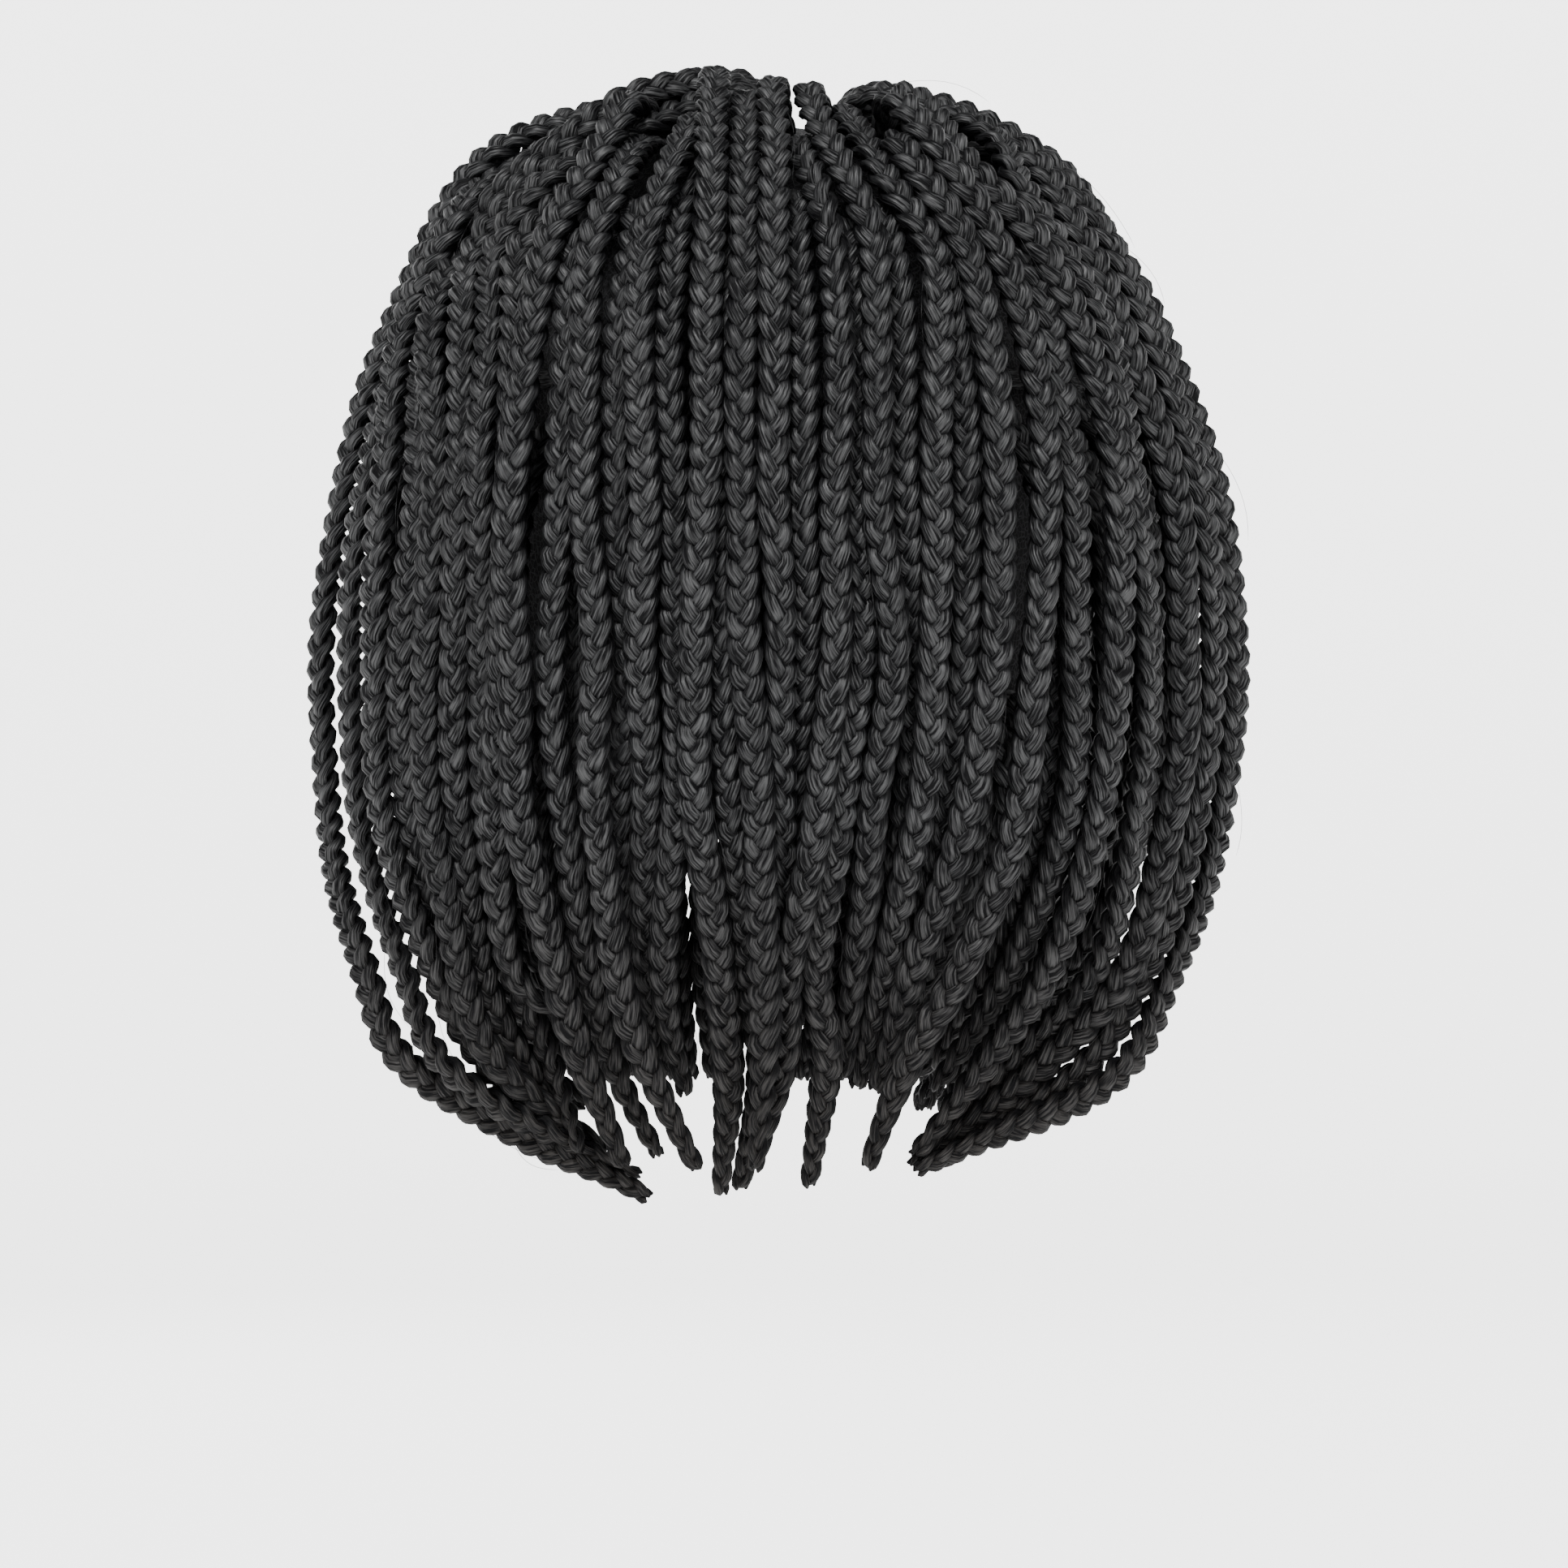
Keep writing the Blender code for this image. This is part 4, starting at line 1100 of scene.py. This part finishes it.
def add_row(row):
    nodes, sides, step = COMBS[row]
    for number, node in enumerate(nodes):
        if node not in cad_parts:
            raise RuntimeError(f"the packed model has no {node}")
        add_comb(node, row, sides, step, SEEDS[row] + number)


class WIG_OT_first_row(bpy.types.Operator):
    """Plaits the outer braids, in six combs"""

    bl_idname = "wig.first_row"
    bl_label = "First row of braids"

    def execute(self, context):
        add_row("first")
        return {"FINISHED"}


class WIG_OT_second_row(bpy.types.Operator):
    """Plaits the second row, which fills in between the outer braids"""

    bl_idname = "wig.second_row"
    bl_label = "Second row of braids"

    def execute(self, context):
        add_row("second")
        return {"FINISHED"}


class WIG_OT_inner_row(bpy.types.Operator):
    """Plaits the inner row round the cap"""

    bl_idname = "wig.inner_row"
    bl_label = "Inner row of braids"

    def execute(self, context):
        add_row("inner")
        return {"FINISHED"}


class WIG_OT_nape_row(bpy.types.Operator):
    """Plaits the row along the nape edge of the cap"""

    bl_idname = "wig.nape_row"
    bl_label = "Nape row of braids"

    def execute(self, context):
        add_row("nape")
        return {"FINISHED"}


class WIG_OT_cap(bpy.types.Operator):
    """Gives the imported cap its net"""

    bl_idname = "wig.cap"
    bl_label = "Net cap"

    def execute(self, context):
        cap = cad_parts["cap"]
        cap.data.materials.clear()
        cap.data.materials.append(cap_net())
        return {"FINISHED"}


def add_light(name, place, aim, size, power):
    data = bpy.data.lights.new(name, "AREA")
    data.shape = "DISK"
    data.size = size
    data.energy = power
    light = bpy.data.objects.new(name, data)
    light.location = place
    light.rotation_euler = (Vector(aim) - Vector(place)).to_track_quat("-Z", "Y").to_euler()
    bpy.context.scene.collection.objects.link(light)


class WIG_OT_stage(bpy.types.Operator):
    """Sets the floor, the light and the camera"""

    bl_idname = "wig.stage"
    bl_label = "Floor, light and camera"

    def execute(self, context):
        add_floor()
        world = bpy.data.worlds.new("studio")
        world.use_nodes = True
        background = world.node_tree.nodes["Background"]
        background.inputs["Color"].default_value = (1, 1, 1, 1)
        background.inputs["Strength"].default_value = 0.3
        context.scene.world = world
        middle = (0, 0, CHART_HEIGHT)
        add_light("key light", (0.35, 1.5, 1.9), middle, 0.5, 120)
        add_light("fill light", (-1.3, 1.6, 0.9), middle, 0.8, 16)
        add_light("top light", (0.0, 0.3, 1.7), middle, 1.2, 14)
        add_light("front light", (0.5, -1.9, 0.6), middle, 1.2, 16)
        data = bpy.data.cameras.new("camera")
        data.sensor_width = SENSOR
        data.lens = SENSOR * VIEW_DISTANCE / VIEW_WIDTH
        camera = bpy.data.objects.new("camera", data)
        camera.location = (0, VIEW_DISTANCE, CHART_HEIGHT)
        camera.rotation_euler = (math.radians(90), 0, math.radians(180))
        context.scene.collection.objects.link(camera)
        context.scene.camera = camera
        return {"FINISHED"}


def add_floor():
    """A pale floor that curves up into a wall all round."""
    profile = [(0.0, FLOOR_HEIGHT), (FLOOR_RADIUS * 0.4, FLOOR_HEIGHT), (FLOOR_RADIUS, FLOOR_HEIGHT)]
    for step in range(1, 9):
        turn = step * math.pi / 16
        out = FLOOR_RADIUS + FLOOR_CURVE * math.sin(turn)
        profile.append((out, FLOOR_HEIGHT + FLOOR_CURVE * (1 - math.cos(turn))))
    profile.append((FLOOR_RADIUS + FLOOR_CURVE, FLOOR_HEIGHT + FLOOR_WALL))
    mesh = bpy.data.meshes.new("floor")
    floor = bpy.data.objects.new("floor", mesh)
    edges = [(i, i + 1) for i in range(len(profile) - 1)]
    mesh.from_pydata([(out, 0, up) for out, up in profile], edges, [])
    bpy.context.scene.collection.objects.link(floor)
    turned = floor.modifiers.new("turned", "SCREW")
    turned.steps = turned.render_steps = 96
    turned.use_merge_vertices = True
    turned.merge_threshold = 0.0001
    mesh.materials.append(pale_floor())
    floor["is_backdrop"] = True


class WIG_PT_pieces(bpy.types.Panel):
    bl_idname = "WIG_PT_pieces"
    bl_label = "Braid wig"
    bl_space_type = "VIEW_3D"
    bl_region_type = "UI"
    bl_category = "Wig"

    def draw(self, context):
        for operator in OPERATORS:
            self.layout.operator(operator.bl_idname)
        for group in (context.scene.hair_sizes, context.scene.wig_colours):
            for name in group.__annotations__:
                self.layout.prop(group, name)


OPERATORS = (
    WIG_OT_first_row,
    WIG_OT_second_row,
    WIG_OT_inner_row,
    WIG_OT_nape_row,
    WIG_OT_cap,
    WIG_OT_stage,
)
CLASSES = (HairSizes, WigColours, *OPERATORS, WIG_PT_pieces)


def register():
    for cls in CLASSES:
        bpy.utils.register_class(cls)
    bpy.types.Scene.hair_sizes = bpy.props.PointerProperty(type=HairSizes)
    bpy.types.Scene.wig_colours = bpy.props.PointerProperty(type=WigColours)


def unregister():
    del bpy.types.Scene.wig_colours
    del bpy.types.Scene.hair_sizes
    for cls in reversed(CLASSES):
        bpy.utils.unregister_class(cls)


def write_sizes():
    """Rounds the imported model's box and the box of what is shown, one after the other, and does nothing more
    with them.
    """
    boxes = {"cad": CAD_BOX, "shown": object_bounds()}
    plain = {name: [[round(part, 5) for part in corner] for corner in box] for name, box in boxes.items()}


def main():
    register()
    bpy.ops.wig.stage()
    bpy.ops.wig.cap()
    bpy.ops.wig.nape_row()
    bpy.ops.wig.inner_row()
    bpy.ops.wig.second_row()
    bpy.ops.wig.first_row()
    write_sizes()


if __name__ == "__main__":
    main()
